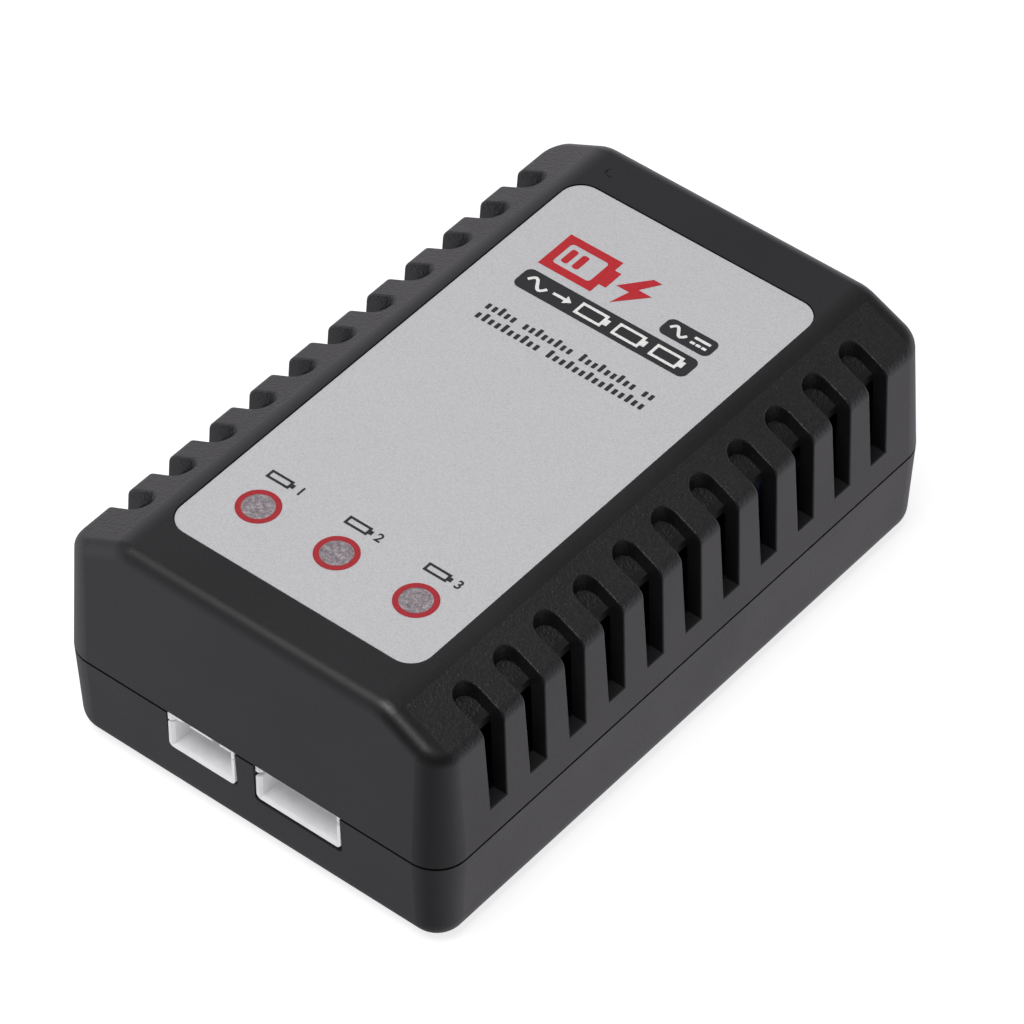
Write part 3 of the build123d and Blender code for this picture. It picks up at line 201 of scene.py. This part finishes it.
# ------------------------------------------------------------------ materials
def moulded(name, colour, roughness, grain_mm=0.2, depth_mm=0.004, spread=0.12):
    """Moulded plastic: spark-eroded grain, faint flow blotches and uneven sheen."""
    finish = Finish(name)
    grain = finish.noise(grain_mm, 3.0, 0.6)
    blotches = finish.noise(9.0, 3.0)
    tone = finish.blend(grain, blotches, 0.3)
    finish.colour(finish.ramp(tone, [(0.36, shade(colour, 1 - spread)), (0.64, shade(colour, 1 + spread))]))
    finish.rough(blotches, roughness - 0.035, roughness + 0.035)
    finish.bump(grain, depth_mm)
    return finish


def printed(name, colour):
    """Screen-printed ink: thin, slightly uneven in density."""
    finish = Finish(name)
    patches = finish.noise(0.35, 3.0, 0.6)
    finish.colour(finish.shades(patches, colour, 0.86, 1.1))
    finish.rough(patches, 0.40, 0.51)
    finish.bump(patches, 0.003)
    return finish


def metal(name, colour, roughness, streak, scale_mm, depth_mm=0.002):
    """Plated metal: fine drawing marks, stretched by `streak`, and dull patches."""
    finish = Finish(name, metallic=1.0)
    streaks = finish.noise(scale_mm, 3.0, 0.6, finish.stretched(streak))
    dull = finish.noise(1.6, 3.0)
    finish.colour(finish.shades(dull, colour, 0.82, 1.08))
    finish.rough(dull, roughness - 0.07, roughness + 0.1)
    finish.bump(streaks, depth_mm)
    return finish


def make_case_plastic(name, colour):
    """Satin ABS: fine spark grain all over, and a coarser grain on the sloping shoulders whose raised
    specks are lightened into painted glints.
    """
    finish = Finish(name)
    coarse = finish.noise(0.32, 2.0, 0.55)
    fine = finish.cells(0.16)
    blotches = finish.noise(14.0, 3.0)
    pebbles = finish.noise(0.42, 3.0, 0.7)
    outside = finish.math("GREATER_THAN", finish.math("ABSOLUTE", finish.axis("X")), SHOULDER_X)
    above = finish.math("GREATER_THAN", finish.axis("Z"), SHOULDER_Z)
    inside = finish.math("LESS_THAN", finish.math("ABSOLUTE", finish.axis("Y")), SHOULDER_Y)
    on_shoulder = finish.math("MULTIPLY", finish.math("MULTIPLY", outside, above), inside)
    # coarse grain on the shoulders: real relief in the bump, and painted glint in the colour, where it
    # lifts the raised specks
    shoulder_grain_and_glint = finish.math("MULTIPLY", finish.math("SUBTRACT", pebbles, 0.5), on_shoulder)
    tone = finish.math("ADD", finish.blend(coarse, blotches, 0.4), finish.math("MULTIPLY", shoulder_grain_and_glint, 1.2))
    # the brightest stop, reached where the shoulder grain lifts the tone, is painted glint on the grain
    finish.colour(finish.ramp(tone, [
        (0.35, shade(colour, 0.88)), (0.65, shade(colour, 1.12)), (0.85, shade(colour, 2.4))]))
    finish.rough(finish.blend(coarse, blotches, 0.5), 0.41, 0.51)
    finish.bump(coarse, 0.010)
    finish.bump(fine, 0.004)
    finish.bump(shoulder_grain_and_glint, 0.11)
    return finish


def make_label_film(name, colour):
    """Silver-grey film with a metallic speckle."""
    finish = Finish(name)
    flakes = finish.noise(0.22, 2.0, 0.7)
    cloud = finish.noise(11.0, 2.0)
    finish.colour(finish.ramp(flakes, [
        (0.28, shade(colour, 0.86)), (0.5, colour), (0.74, shade(colour, 1.12))]))
    finish.rough(cloud, 0.38, 0.47)
    finish.bump(flakes, 0.004)
    return finish


def make_window_film(name):
    """Frosted film with a cloudy mottle."""
    finish = Finish(name, Coat_Weight=0.15)
    flow = finish.noise(0.55, 5.0, 0.65)
    specks = finish.noise(0.22, 2.0, 0.6)
    finish.colour(finish.ramp(finish.blend(flow, specks, 0.38), [
        (0.36, rgb("#645c5f")), (0.5, rgb("#837b7f")), (0.62, rgb("#aaa3a6"))]))
    finish.rough(flow, 0.42, 0.6)
    finish.bump(flow, 0.03)
    return finish


def make_nylon(name, colour, glow=0.0):
    """Milky nylon; glow stands in for the light that soaks through thin walls."""
    finish = Finish(name, Subsurface_Weight=0.25, Subsurface_Radius=(1.2, 1.1, 1.0),
                    Subsurface_Scale=0.8 * MM, Emission_Color=colour, Emission_Strength=glow)
    cloud = finish.noise(2.2, 3.0)
    grain = finish.noise(0.14, 2.0)
    finish.colour(finish.shades(cloud, colour, 0.93, 1.04))
    finish.rough(cloud, 0.32, 0.44)
    finish.bump(grain, 0.002)
    return finish


def make_board(name):
    """Green solder mask, lighter over the copper tracks, on woven laminate."""
    finish = Finish(name, Coat_Weight=0.3)
    tracks = finish.math("LESS_THAN", finish.cells(3.4, "DISTANCE_TO_EDGE"), 0.09)
    weave = finish.noise(0.5, 2.0, 0.5, finish.stretched((1.0, 0.25, 1.0)))
    mask = rgb("#0d3f1d")
    ground = finish.ramp(weave, [(0.35, shade(mask, 0.85)), (0.65, shade(mask, 1.15))])
    finish.colour(finish.mix(tracks, ground, rgb("#1b5e2c")))
    finish.rough(weave, 0.26, 0.36)
    finish.bump(tracks, 0.02)
    return finish


def make_winding(name, colour):
    """Enamelled wire laid side by side: rounded turns stacked along Z, with painted shade in the creases
    between them.
    """
    finish = Finish(name, metallic=0.85, Coat_Weight=0.6)
    turn_pitch = 0.35 * MM
    phase = finish.math("MULTIPLY", finish.axis("Z"), math.pi / turn_pitch)
    turns = finish.math("ABSOLUTE", finish.math("SINE", phase))
    cloud = finish.noise(0.9, 2.0)
    # the creases between turns are darkened to about a third of the wire's colour: painted shade
    finish.colour(finish.mix(turns, shade(colour, 0.35), finish.shades(cloud, colour, 0.85, 1.15)))
    finish.rough(cloud, 0.24, 0.36)
    finish.bump(turns, 0.12)
    return finish


def make_banded_resistor(name, node):
    """Lacquered body with three painted bands across its length."""
    finish = Finish(name, 0.35, Coat_Weight=0.3)
    low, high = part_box(node)
    size = high - low
    long_axis = max(range(3), key=lambda i: size[i])
    from_end = finish.math("SUBTRACT", finish.axis("XYZ"[long_axis]), low[long_axis])
    place = finish.math("DIVIDE", from_end, size[long_axis])
    body = finish.ramp(finish.noise(0.6, 2.0), [(0.3, rgb("#a3895f")), (0.7, rgb("#b99f72"))])
    first_band, band_width = 0.24, 0.08
    stops = [(0.0, grey(0.0))]
    for band in range(3):
        start = first_band + 2 * band * band_width
        stops += [(start, grey(1.0)), (start + band_width, grey(0.0))]
    bands = finish.ramp(place, stops, "CONSTANT")
    finish.colour(finish.mix(bands, body, rgb("#4a2416")))
    finish.bump(finish.noise(0.5, 2.0), 0.01)
    return finish


def make_can(name, node):
    """Electrolytic capacitor: shrink sleeve round the wall and a bare, scored aluminium roof."""
    finish = Finish(name)
    low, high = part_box(node)
    roof = finish.math("GREATER_THAN", finish.axis("Z"), high.z - 0.03 * MM)
    cloud = finish.noise(1.5, 3.0)
    sleeve = finish.ramp(cloud, [(0.3, rgb("#10182c")), (0.7, rgb("#18233f"))])
    alloy = finish.ramp(cloud, [(0.3, rgb("#a9abae")), (0.7, rgb("#c9cacc"))])
    finish.colour(finish.mix(roof, sleeve, alloy))
    finish.tree.links.new(roof, finish.shader.inputs["Metallic"])
    finish.rough(cloud, 0.28, 0.42)
    scoring_mm = (high.x - low.x) / MM / 24
    finish.bump(finish.noise(scoring_mm, 2.0), 0.006)
    return finish


TIN = metal("tinned_pin", rgb("#cfccc4"), 0.3, (1, 1, 0.2), 0.12)
NYLON = make_nylon("white_nylon", rgb("#d9d9db"), 0.16)
FERRITE = moulded("ferrite", rgb("#2d2b2d"), 0.55, 0.25, 0.012, 0.25)
WIRE = make_winding("copper_wire", rgb("#b0622d"))
EPOXY = moulded("moulded_epoxy", rgb("#1b1b1d"), 0.5, 0.1, 0.003, 0.15)
NODE_FINISH = {
    "upper_shell": make_case_plastic("case_plastic_upper", rgb("#101011")),
    "lower_shell": make_case_plastic("case_plastic_lower", rgb("#0f0f10")),
    "top_label": make_label_film("label_film", rgb("#bdbdbf")),
    "rating_label": make_label_film("rating_film", rgb("#b3b3b5")),
    "led_windows": make_window_film("window_film"),
    "case_screws": metal("screw_steel", rgb("#8c8e92"), 0.32, (1, 1, 1), 0.25, 0.004),
    "balance_socket_3pin": NYLON,
    "balance_socket_4pin": NYLON,
    "balance_pins_3pin": TIN,
    "balance_pins_4pin": TIN,
    "mains_inlet": moulded("inlet_plastic", rgb("#1b1b1c"), 0.34, 0.12, 0.002),
    "inlet_pins": metal("nickel_pin", rgb("#cfc9bd"), 0.24, (1, 0.15, 1), 0.2),
    "status_leds": make_nylon("led_epoxy", rgb("#dcdcd8")),
    "led_spacers": make_nylon("spacer_nylon", rgb("#d8d8d2")),
    "led_leads": TIN,
    "circuit_board": make_board("board_laminate"),
    "component_leads": TIN,
    "package_leads": TIN,
    "transformer_core": FERRITE,
    "transformer_bobbin": moulded("bobbin_plastic", rgb("#232326"), 0.45),
    "transformer_winding": WIRE,
    "transformer_tape": moulded("polyester_tape", rgb("#d6a51c"), 0.3, 0.8, 0.02, 0.1),
    "transformer_pins": TIN,
    "mains_fuse": moulded("fuse_case", rgb("#6a2f22"), 0.36, 0.2, 0.003, 0.12),
    "inrush_thermistor": moulded("green_coating", rgb("#26452f"), 0.4, 0.7, 0.02, 0.15),
    "input_choke_core": FERRITE,
    "input_choke_winding": WIRE,
    "bridge_rectifier": EPOXY,
    "bulk_capacitor": make_can("bulk_capacitor_sleeve", "bulk_capacitor"),
    "switching_ic": EPOXY,
    "clamp_diode": EPOXY,
    "clamp_resistor": make_banded_resistor("resistor_body", "clamp_resistor"),
    "y_capacitor": moulded("blue_coating", rgb("#2f6cae"), 0.34, 0.7, 0.02, 0.15),
    "optocoupler": EPOXY,
    "output_diodes": EPOXY,
    "output_capacitors": make_can("output_capacitor_sleeve", "output_capacitors"),
    "charge_ics": EPOXY,
    "charge_transistors": EPOXY,
    "chip_resistors": moulded("chip_body", rgb("#232326"), 0.3, 0.2, 0.003, 0.2),
}
for node, finish in NODE_FINISH.items():
    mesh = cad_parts[node].data
    mesh.materials.clear()
    mesh.materials.append(finish.material)


# ------------------------------------------------------------------ outlines, in millimetres
def arc(x, y, radius, start, end, steps=10):
    """Points along an arc, angles in degrees."""
    angles = [math.radians(start + (end - start) * index / steps) for index in range(steps + 1)]
    return [(x + radius * math.cos(angle), y + radius * math.sin(angle)) for angle in angles]


def circle(x, y, radius, steps=72):
    """Points round a circle; the last one stops short of the first."""
    return arc(x, y, radius, 0, 360 * (steps - 1) / steps, steps - 1)


def pill(left, low, right, high, radius):
    """A rectangle with rounded corners."""
    radius = min(radius, (right - left) / 2, (high - low) / 2)
    return (arc(right - radius, high - radius, radius, 0, 90)
            + arc(left + radius, high - radius, radius, 90, 180)
            + arc(left + radius, low + radius, radius, 180, 270)
            + arc(right - radius, low + radius, radius, 270, 360))


def cell_icon(left, low, right, high, stroke, nub, bar_count=0):
    """A battery cell symbol: a frame with a nub on its right and bars of charge in it."""
    body_right = right - nub
    nub_low = (low + high) / 2 - (high - low) * 0.24
    nub_high = (low + high) / 2 + (high - low) * 0.24
    outer = [(left, low), (body_right, low), (body_right, nub_low), (right, nub_low),
             (right, nub_high), (body_right, nub_high), (body_right, high), (left, high)]
    inner = pill(left + stroke, low + stroke, body_right - stroke, high - stroke, stroke * 0.4)
    room = body_right - left - 2 * stroke
    bar_width = room / 3 - stroke * 0.75
    bars = []
    for index in range(bar_count):
        x = left + stroke * 1.55 + index * (room - stroke * 0.55) / 3
        bars.append(pill(x, low + 1.6 * stroke, x + bar_width, high - 1.6 * stroke, stroke * 0.3))
    return [outer, inner] + bars


def bolt(left, low, right, high):
    """A lightning bolt."""
    shape = [(0.62, 1.0), (0.08, 0.44), (0.44, 0.44), (0.30, 0.0), (0.94, 0.60), (0.56, 0.60), (0.86, 1.0)]
    return [(left + u * (right - left), low + v * (high - low)) for u, v in shape]


def sine_wave(left, right, middle, rise, stroke):
    """The sign for alternating current: one period of a sine as a band of even width."""
    steps = 28
    upper, lower = [], []
    for index in range(steps + 1):
        turn = 2 * math.pi * index / steps
        x = left + (right - left) * index / steps
        y = middle + rise * math.sin(turn)
        slope = rise * 2 * math.pi / (right - left) * math.cos(turn)
        across = stroke / 2 / math.hypot(1, slope)
        upper.append((x - slope * across, y + across))
        lower.append((x + slope * across, y - across))
    return upper + lower[::-1]


def direct_current_sign(left, low, right, high, stroke):
    """A bar over three dashes."""
    gap = 0.4 * stroke
    dash = (right - left - 2 * gap) / 3
    corner = stroke / 4
    dash_lefts = [left + index * (dash + gap) for index in range(3)]
    return ([pill(left, high - stroke, right, high, corner)]
            + [pill(x, low, x + dash, low + stroke, corner) for x in dash_lefts])


def arrow(left, right, middle, stroke, head):
    """An arrow that points right."""
    neck = right - head
    return [(left, middle - stroke / 2), (neck, middle - stroke / 2), (neck, middle - head * 0.75),
            (right, middle), (neck, middle + head * 0.75), (neck, middle + stroke / 2),
            (left, middle + stroke / 2)]


def block_row(left, right, foot, words):
    """A row of small blocks in groups, as many in each as `words` says, like a line of print."""
    pitch = (right - left) / (sum(words) + len(words) - 1)
    blocks = []
    x = left
    for count in words:
        for index in range(count):
            height = TALL_BLOCK if (5 * index + count) % 3 == 0 else LOW_BLOCK
            blocks.append(pill(x + 0.18 * pitch, foot, x + 0.72 * pitch, foot + height, BLOCK_CORNER))
            x += pitch
        x += pitch
    return blocks


def boundary_loops(mesh):
    """The outlines of a flat mesh: its edges that only one face has, joined into closed loops."""
    counts = {}
    for polygon in mesh.polygons:
        for key in polygon.edge_keys:
            counts[key] = counts.get(key, 0) + 1
    follows = {}
    for polygon in mesh.polygons:
        corners = list(polygon.vertices)
        for a, b in zip(corners, corners[1:] + corners[:1]):
            if counts[tuple(sorted((a, b)))] == 1:
                follows[a] = b
    loops = []
    while follows:
        start = next(iter(follows))
        loop = [start]
        following = follows.pop(start)
        while following != start:
            loop.append(following)
            following = follows.pop(following)
        loops.append([mesh.vertices[i].co.copy() for i in loop])
    return loops


def digit_outlines(text, x, y, height, weight):
    """The built-in font's outlines for text, centred on x with its foot at y."""
    font = bpy.data.curves.new("digit", "FONT")
    font.body = text
    font.size = 1.0
    font.offset = weight
    font.resolution_u = 6
    shape = bpy.data.objects.new("digit_shape", font)
    bpy.context.scene.collection.objects.link(shape)
    bpy.context.view_layer.update()
    loops = boundary_loops(bpy.data.meshes.new_from_object(shape))
    bpy.data.objects.remove(shape)
    xs = [point.x for loop in loops for point in loop]
    ys = [point.y for loop in loops for point in loop]
    scale = height / (max(ys) - min(ys))
    middle = (max(xs) + min(xs)) / 2
    return [[(x + (point.x - middle) * scale, y + (point.y - min(ys)) * scale) for point in loop]
            for loop in loops]


# ------------------------------------------------------------------ printed marks
FILM_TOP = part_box("top_label")[1].z
INK = 0.03 * MM
RED = printed("red_ink", rgb("#b5161f"))
DULL_RED = printed("ring_ink", rgb("#a31f28"))
BLACK = printed("black_ink", rgb("#1e1e20"))
WHITE = printed("white_ink", rgb("#e4e4e2"))

# places on the label in millimetres; boxes are left, low, right, high
MARK_LOW, MARK_HIGH = 22.1, 28.3
MARK_BATTERY = (-12.7, MARK_LOW, -3.9, MARK_HIGH)
MARK_BOLT = (-3.6, MARK_LOW, 1.6, MARK_HIGH)
SHORT_PLATE = (5.1, 21.8, 12.4, 24.7)
LONG_PLATE = (-12.9, 17.4, 12.4, 20.9)
SHORT_PLATE_MIDDLE = (SHORT_PLATE[1] + SHORT_PLATE[3]) / 2
LONG_PLATE_MIDDLE = (LONG_PLATE[1] + LONG_PLATE[3]) / 2
SHORT_WAVE_LEFT, SHORT_WAVE_RIGHT = 6.0, 8.5
DIRECT_CURRENT = (9.3, 22.6, 11.6, 23.9)
LONG_WAVE_LEFT, LONG_WAVE_RIGHT = -11.8, -8.9
ARROW_LEFT, ARROW_RIGHT = -8.0, -5.3
PLATE_CELL_LEFT, PLATE_CELL_PITCH = -4.3, 5.5
PLATE_CELL_WIDTH, PLATE_CELL_HEIGHT = 4.5, 2.1

# each row of blocks has its foot and its groups
BLOCK_LEFT, BLOCK_RIGHT = -12.8, 12.1
BLOCK_ROWS = [(12.25, (5, 8, 9, 2)), (10.35, (10, 15))]
TALL_BLOCK, LOW_BLOCK, BLOCK_CORNER = 1.35, 0.95, 0.12

# the charge lights, from the window films, and the marks beside them
WINDOW_LOW, WINDOW_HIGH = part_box("led_windows")
WINDOW_RADIUS = (WINDOW_HIGH.y - WINDOW_LOW.y) / 2 / MM
LIGHT_Y = (WINDOW_HIGH.y + WINDOW_LOW.y) / 2 / MM
LIGHT_PITCH = (WINDOW_HIGH.x - WINDOW_LOW.x) / MM / 2 - WINDOW_RADIUS
RING_RADIUS, RING_GAP = 2.68, 0.04
CAPTION_Y, CAPTION_HEIGHT = LIGHT_Y + 4.15, 1.35
CAPTION_LEFT, CAPTION_RIGHT, CAPTION_DIGIT = -2.6, 1.15, 2.15
DIGIT_WEIGHT = 0.02


def flat_piece(name, outlines, ink, base_z=FILM_TOP, thickness=INK):
    """A thin closed solid over outlines in millimetres; an outline inside another is a hole."""
    curve = bpy.data.curves.new(name + "_curve", "CURVE")
    curve.dimensions = "2D"
    curve.fill_mode = "BOTH"
    curve.extrude = thickness / 2
    for points in outlines:
        spline = curve.splines.new("POLY")
        spline.points.add(len(points) - 1)
        for point, (x, y) in zip(spline.points, points):
            point.co = (x * MM, y * MM, 0, 1)
        spline.use_cyclic_u = True
    shape = bpy.data.objects.new(name + "_shape", curve)
    mesh = bpy.data.meshes.new_from_object(shape)
    bpy.data.objects.remove(shape)
    for vertex in mesh.vertices:
        vertex.co.z += base_z + thickness / 2
    mesh.materials.clear()
    mesh.materials.append(ink.material)
    piece = bpy.data.objects.new(name, mesh)
    bpy.context.scene.collection.objects.link(piece)
    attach(piece, "root")


def print_charge_mark():
    """A red battery with two bars and a lightning bolt beside it."""
    flat_piece("mark_battery", cell_icon(*MARK_BATTERY, stroke=1.15, nub=1.0, bar_count=2), RED)
    flat_piece("mark_bolt", [bolt(*MARK_BOLT)], RED)


def print_plates():
    """Two black plates with white signs: mains to three cells, and the two kinds of current."""
    flat_piece("plate_short", [pill(*SHORT_PLATE, radius=0.9)], BLACK)
    flat_piece("plate_long", [pill(*LONG_PLATE, radius=0.95)], BLACK)
    signs = [sine_wave(SHORT_WAVE_LEFT, SHORT_WAVE_RIGHT, SHORT_PLATE_MIDDLE, rise=0.62, stroke=0.4)]
    signs += direct_current_sign(*DIRECT_CURRENT, stroke=0.4)
    flat_piece("plate_short_symbols", signs, WHITE, FILM_TOP + INK, INK / 2)
    signs = [sine_wave(LONG_WAVE_LEFT, LONG_WAVE_RIGHT, LONG_PLATE_MIDDLE, rise=0.75, stroke=0.42),
             arrow(ARROW_LEFT, ARROW_RIGHT, LONG_PLATE_MIDDLE, stroke=0.42, head=0.95)]
    low = LONG_PLATE_MIDDLE - PLATE_CELL_HEIGHT / 2
    high = LONG_PLATE_MIDDLE + PLATE_CELL_HEIGHT / 2
    for index in range(3):
        left = PLATE_CELL_LEFT + index * PLATE_CELL_PITCH
        signs += cell_icon(left, low, left + PLATE_CELL_WIDTH, high, stroke=0.38, nub=0.55)
    flat_piece("plate_long_symbols", signs, WHITE, FILM_TOP + INK, INK / 2)


def print_block_rows():
    """Rows of small blocks where a label has its small print."""
    for row, (foot, words) in enumerate(BLOCK_ROWS, start=1):
        flat_piece(f"fine_print_{row}", block_row(BLOCK_LEFT, BLOCK_RIGHT, foot, words), BLACK)


def print_light_marks():
    """A ring round each charge light, and a cell with the light's number beside it."""
    for number, x in enumerate((-LIGHT_PITCH, 0.0, LIGHT_PITCH), start=1):
        ring = [circle(x, LIGHT_Y, RING_RADIUS), circle(x, LIGHT_Y, WINDOW_RADIUS + RING_GAP)]
        flat_piece(f"light_ring_{number}", ring, DULL_RED)
        caption = cell_icon(x + CAPTION_LEFT, CAPTION_Y, x + CAPTION_RIGHT, CAPTION_Y + CAPTION_HEIGHT,
                            stroke=0.33, nub=0.45)
        caption += digit_outlines(str(number), x + CAPTION_DIGIT, CAPTION_Y, CAPTION_HEIGHT, DIGIT_WEIGHT)
        flat_piece(f"light_number_{number}", caption, BLACK)


print_charge_mark()
print_plates()
print_block_rows()
print_light_marks()


# ------------------------------------------------------------------ stage
# azimuth 0 is the front of the object and 90 its right-hand side, in degrees
FLOOR_REACH = 3.0
FLOOR_GLOW = 0.8

# a large soft lamp almost overhead, a little towards the front
LAMP_TARGET = Vector((0, 0, 20.0)) * MM
LAMP_AZIMUTH, LAMP_ELEVATION, LAMP_DISTANCE = 0, 76, 1.3
LAMP_SIZE, LAMP_POWER = 0.8, 16.2

# glowing areas of the room: azimuth, elevation, strength, tightness
GLOWS = [
    (295, -10, 1.36, 3.0),  # left, a little to the front
    (150, 0, 1.0, 8.0),  # back right
    (212, 0, 1.3, 6.0),  # back left
    (215, 15, 0.3, 10.0),  # back left, above the horizon
    (40, -45, 0.25, 3.0),  # front right, from below
    (120, -50, 0.54, 3.0),  # right, from below
    (165, -35, 0.45, 3.0),  # back, from below
]
ROOM_TINT = (1.0, 0.96, 1.03)

# the camera looks at its target from this side and distance
CAMERA_AZIMUTH, CAMERA_ELEVATION = 39.35, 45.16
CAMERA_DISTANCE = 719.6 * MM
CAMERA_TARGET = Vector((-1.85, 4.13, 13.3)) * MM
CAMERA_LENS, CAMERA_SENSOR = 217.53, 36.0
CAMERA_CLIP_START = 10.0 * MM


def from_angles(azimuth, elevation):
    """The unit vector that points this way."""
    azimuth, elevation = math.radians(azimuth), math.radians(elevation)
    return Vector((math.sin(azimuth) * math.cos(elevation), -math.cos(azimuth) * math.cos(elevation),
                   math.sin(elevation)))


def place_facing(name, data, direction, distance, target):
    """A lamp or a camera that stands at this distance and direction from its target and faces it."""
    obj = bpy.data.objects.new(name, data)
    bpy.context.scene.collection.objects.link(obj)
    obj.location = target + direction * distance
    obj.rotation_euler = (-direction).to_track_quat("-Z", "Y").to_euler()
    return obj


def make_floor():
    """Pale paper that glows a little, so the object's shadow on it stays faint."""
    mesh = bpy.data.meshes.new("floor")
    ground = CAD_BOUNDS[0][2]
    corners = [(-FLOOR_REACH, -FLOOR_REACH, ground), (FLOOR_REACH, -FLOOR_REACH, ground),
               (FLOOR_REACH, FLOOR_REACH, ground), (-FLOOR_REACH, FLOOR_REACH, ground)]
    mesh.from_pydata(corners, [], [(0, 1, 2, 3)])
    floor = bpy.data.objects.new("floor", mesh)
    bpy.context.scene.collection.objects.link(floor)
    paper = Finish("floor_paper", 0.9, Specular_IOR_Level=0.1, Emission_Color=grey(1.0),
                   Emission_Strength=FLOOR_GLOW)
    paper.colour(paper.ramp(paper.noise(30.0, 3.0), [(0.3, grey(0.34)), (0.7, grey(0.36))]))
    mesh.materials.append(paper.material)
    floor.visible_glossy = False


def make_studio_walls():
    """World light: a dark room with soft glowing areas."""
    world = bpy.data.worlds.new("studio")
    bpy.context.scene.world = world
    world.use_nodes = True
    tree = world.node_tree

    def step(operation, a, b):
        node = tree.nodes.new("ShaderNodeMath")
        node.operation = operation
        tree.links.new(a, node.inputs[0])
        if isinstance(b, float):
            node.inputs[1].default_value = b
        else:
            tree.links.new(b, node.inputs[1])
        return node.outputs["Value"]

    direction = tree.nodes.new("ShaderNodeTexCoord").outputs["Generated"]
    total = None
    for azimuth, elevation, strength, tightness in GLOWS:
        dot = tree.nodes.new("ShaderNodeVectorMath")
        dot.operation = "DOT_PRODUCT"
        dot.inputs[1].default_value = from_angles(azimuth, elevation)
        tree.links.new(direction, dot.inputs[0])
        falloff = step("POWER", step("MAXIMUM", dot.outputs["Value"], 0.0), tightness)
        glow = step("MULTIPLY", falloff, strength)
        total = glow if total is None else step("ADD", total, glow)
    tint = tree.nodes.new("ShaderNodeVectorMath")
    tint.operation = "SCALE"
    tint.inputs[0].default_value = ROOM_TINT
    tree.links.new(total, tint.inputs["Scale"])
    tree.links.new(tint.outputs["Vector"], tree.nodes["Background"].inputs["Color"])
    tree.nodes["Background"].inputs["Strength"].default_value = 1.0


def make_lamp():
    lamp = bpy.data.lights.new("top_box", "AREA")
    lamp.shape = "SQUARE"
    lamp.size = LAMP_SIZE
    lamp.energy = LAMP_POWER
    direction = from_angles(LAMP_AZIMUTH, LAMP_ELEVATION)
    place_facing("top_box", lamp, direction, LAMP_DISTANCE, LAMP_TARGET)


def make_camera():
    camera = bpy.data.cameras.new("camera")
    camera.lens = CAMERA_LENS
    camera.sensor_width = CAMERA_SENSOR
    camera.clip_start = CAMERA_CLIP_START
    direction = from_angles(CAMERA_AZIMUTH, CAMERA_ELEVATION)
    bpy.context.scene.camera = place_facing("camera", camera, direction, CAMERA_DISTANCE, CAMERA_TARGET)


make_floor()
make_studio_walls()
make_lamp()
make_camera()

settings = bpy.context.scene.view_settings
settings.view_transform = "Standard"
settings.look = "None"
settings.exposure = 0.0
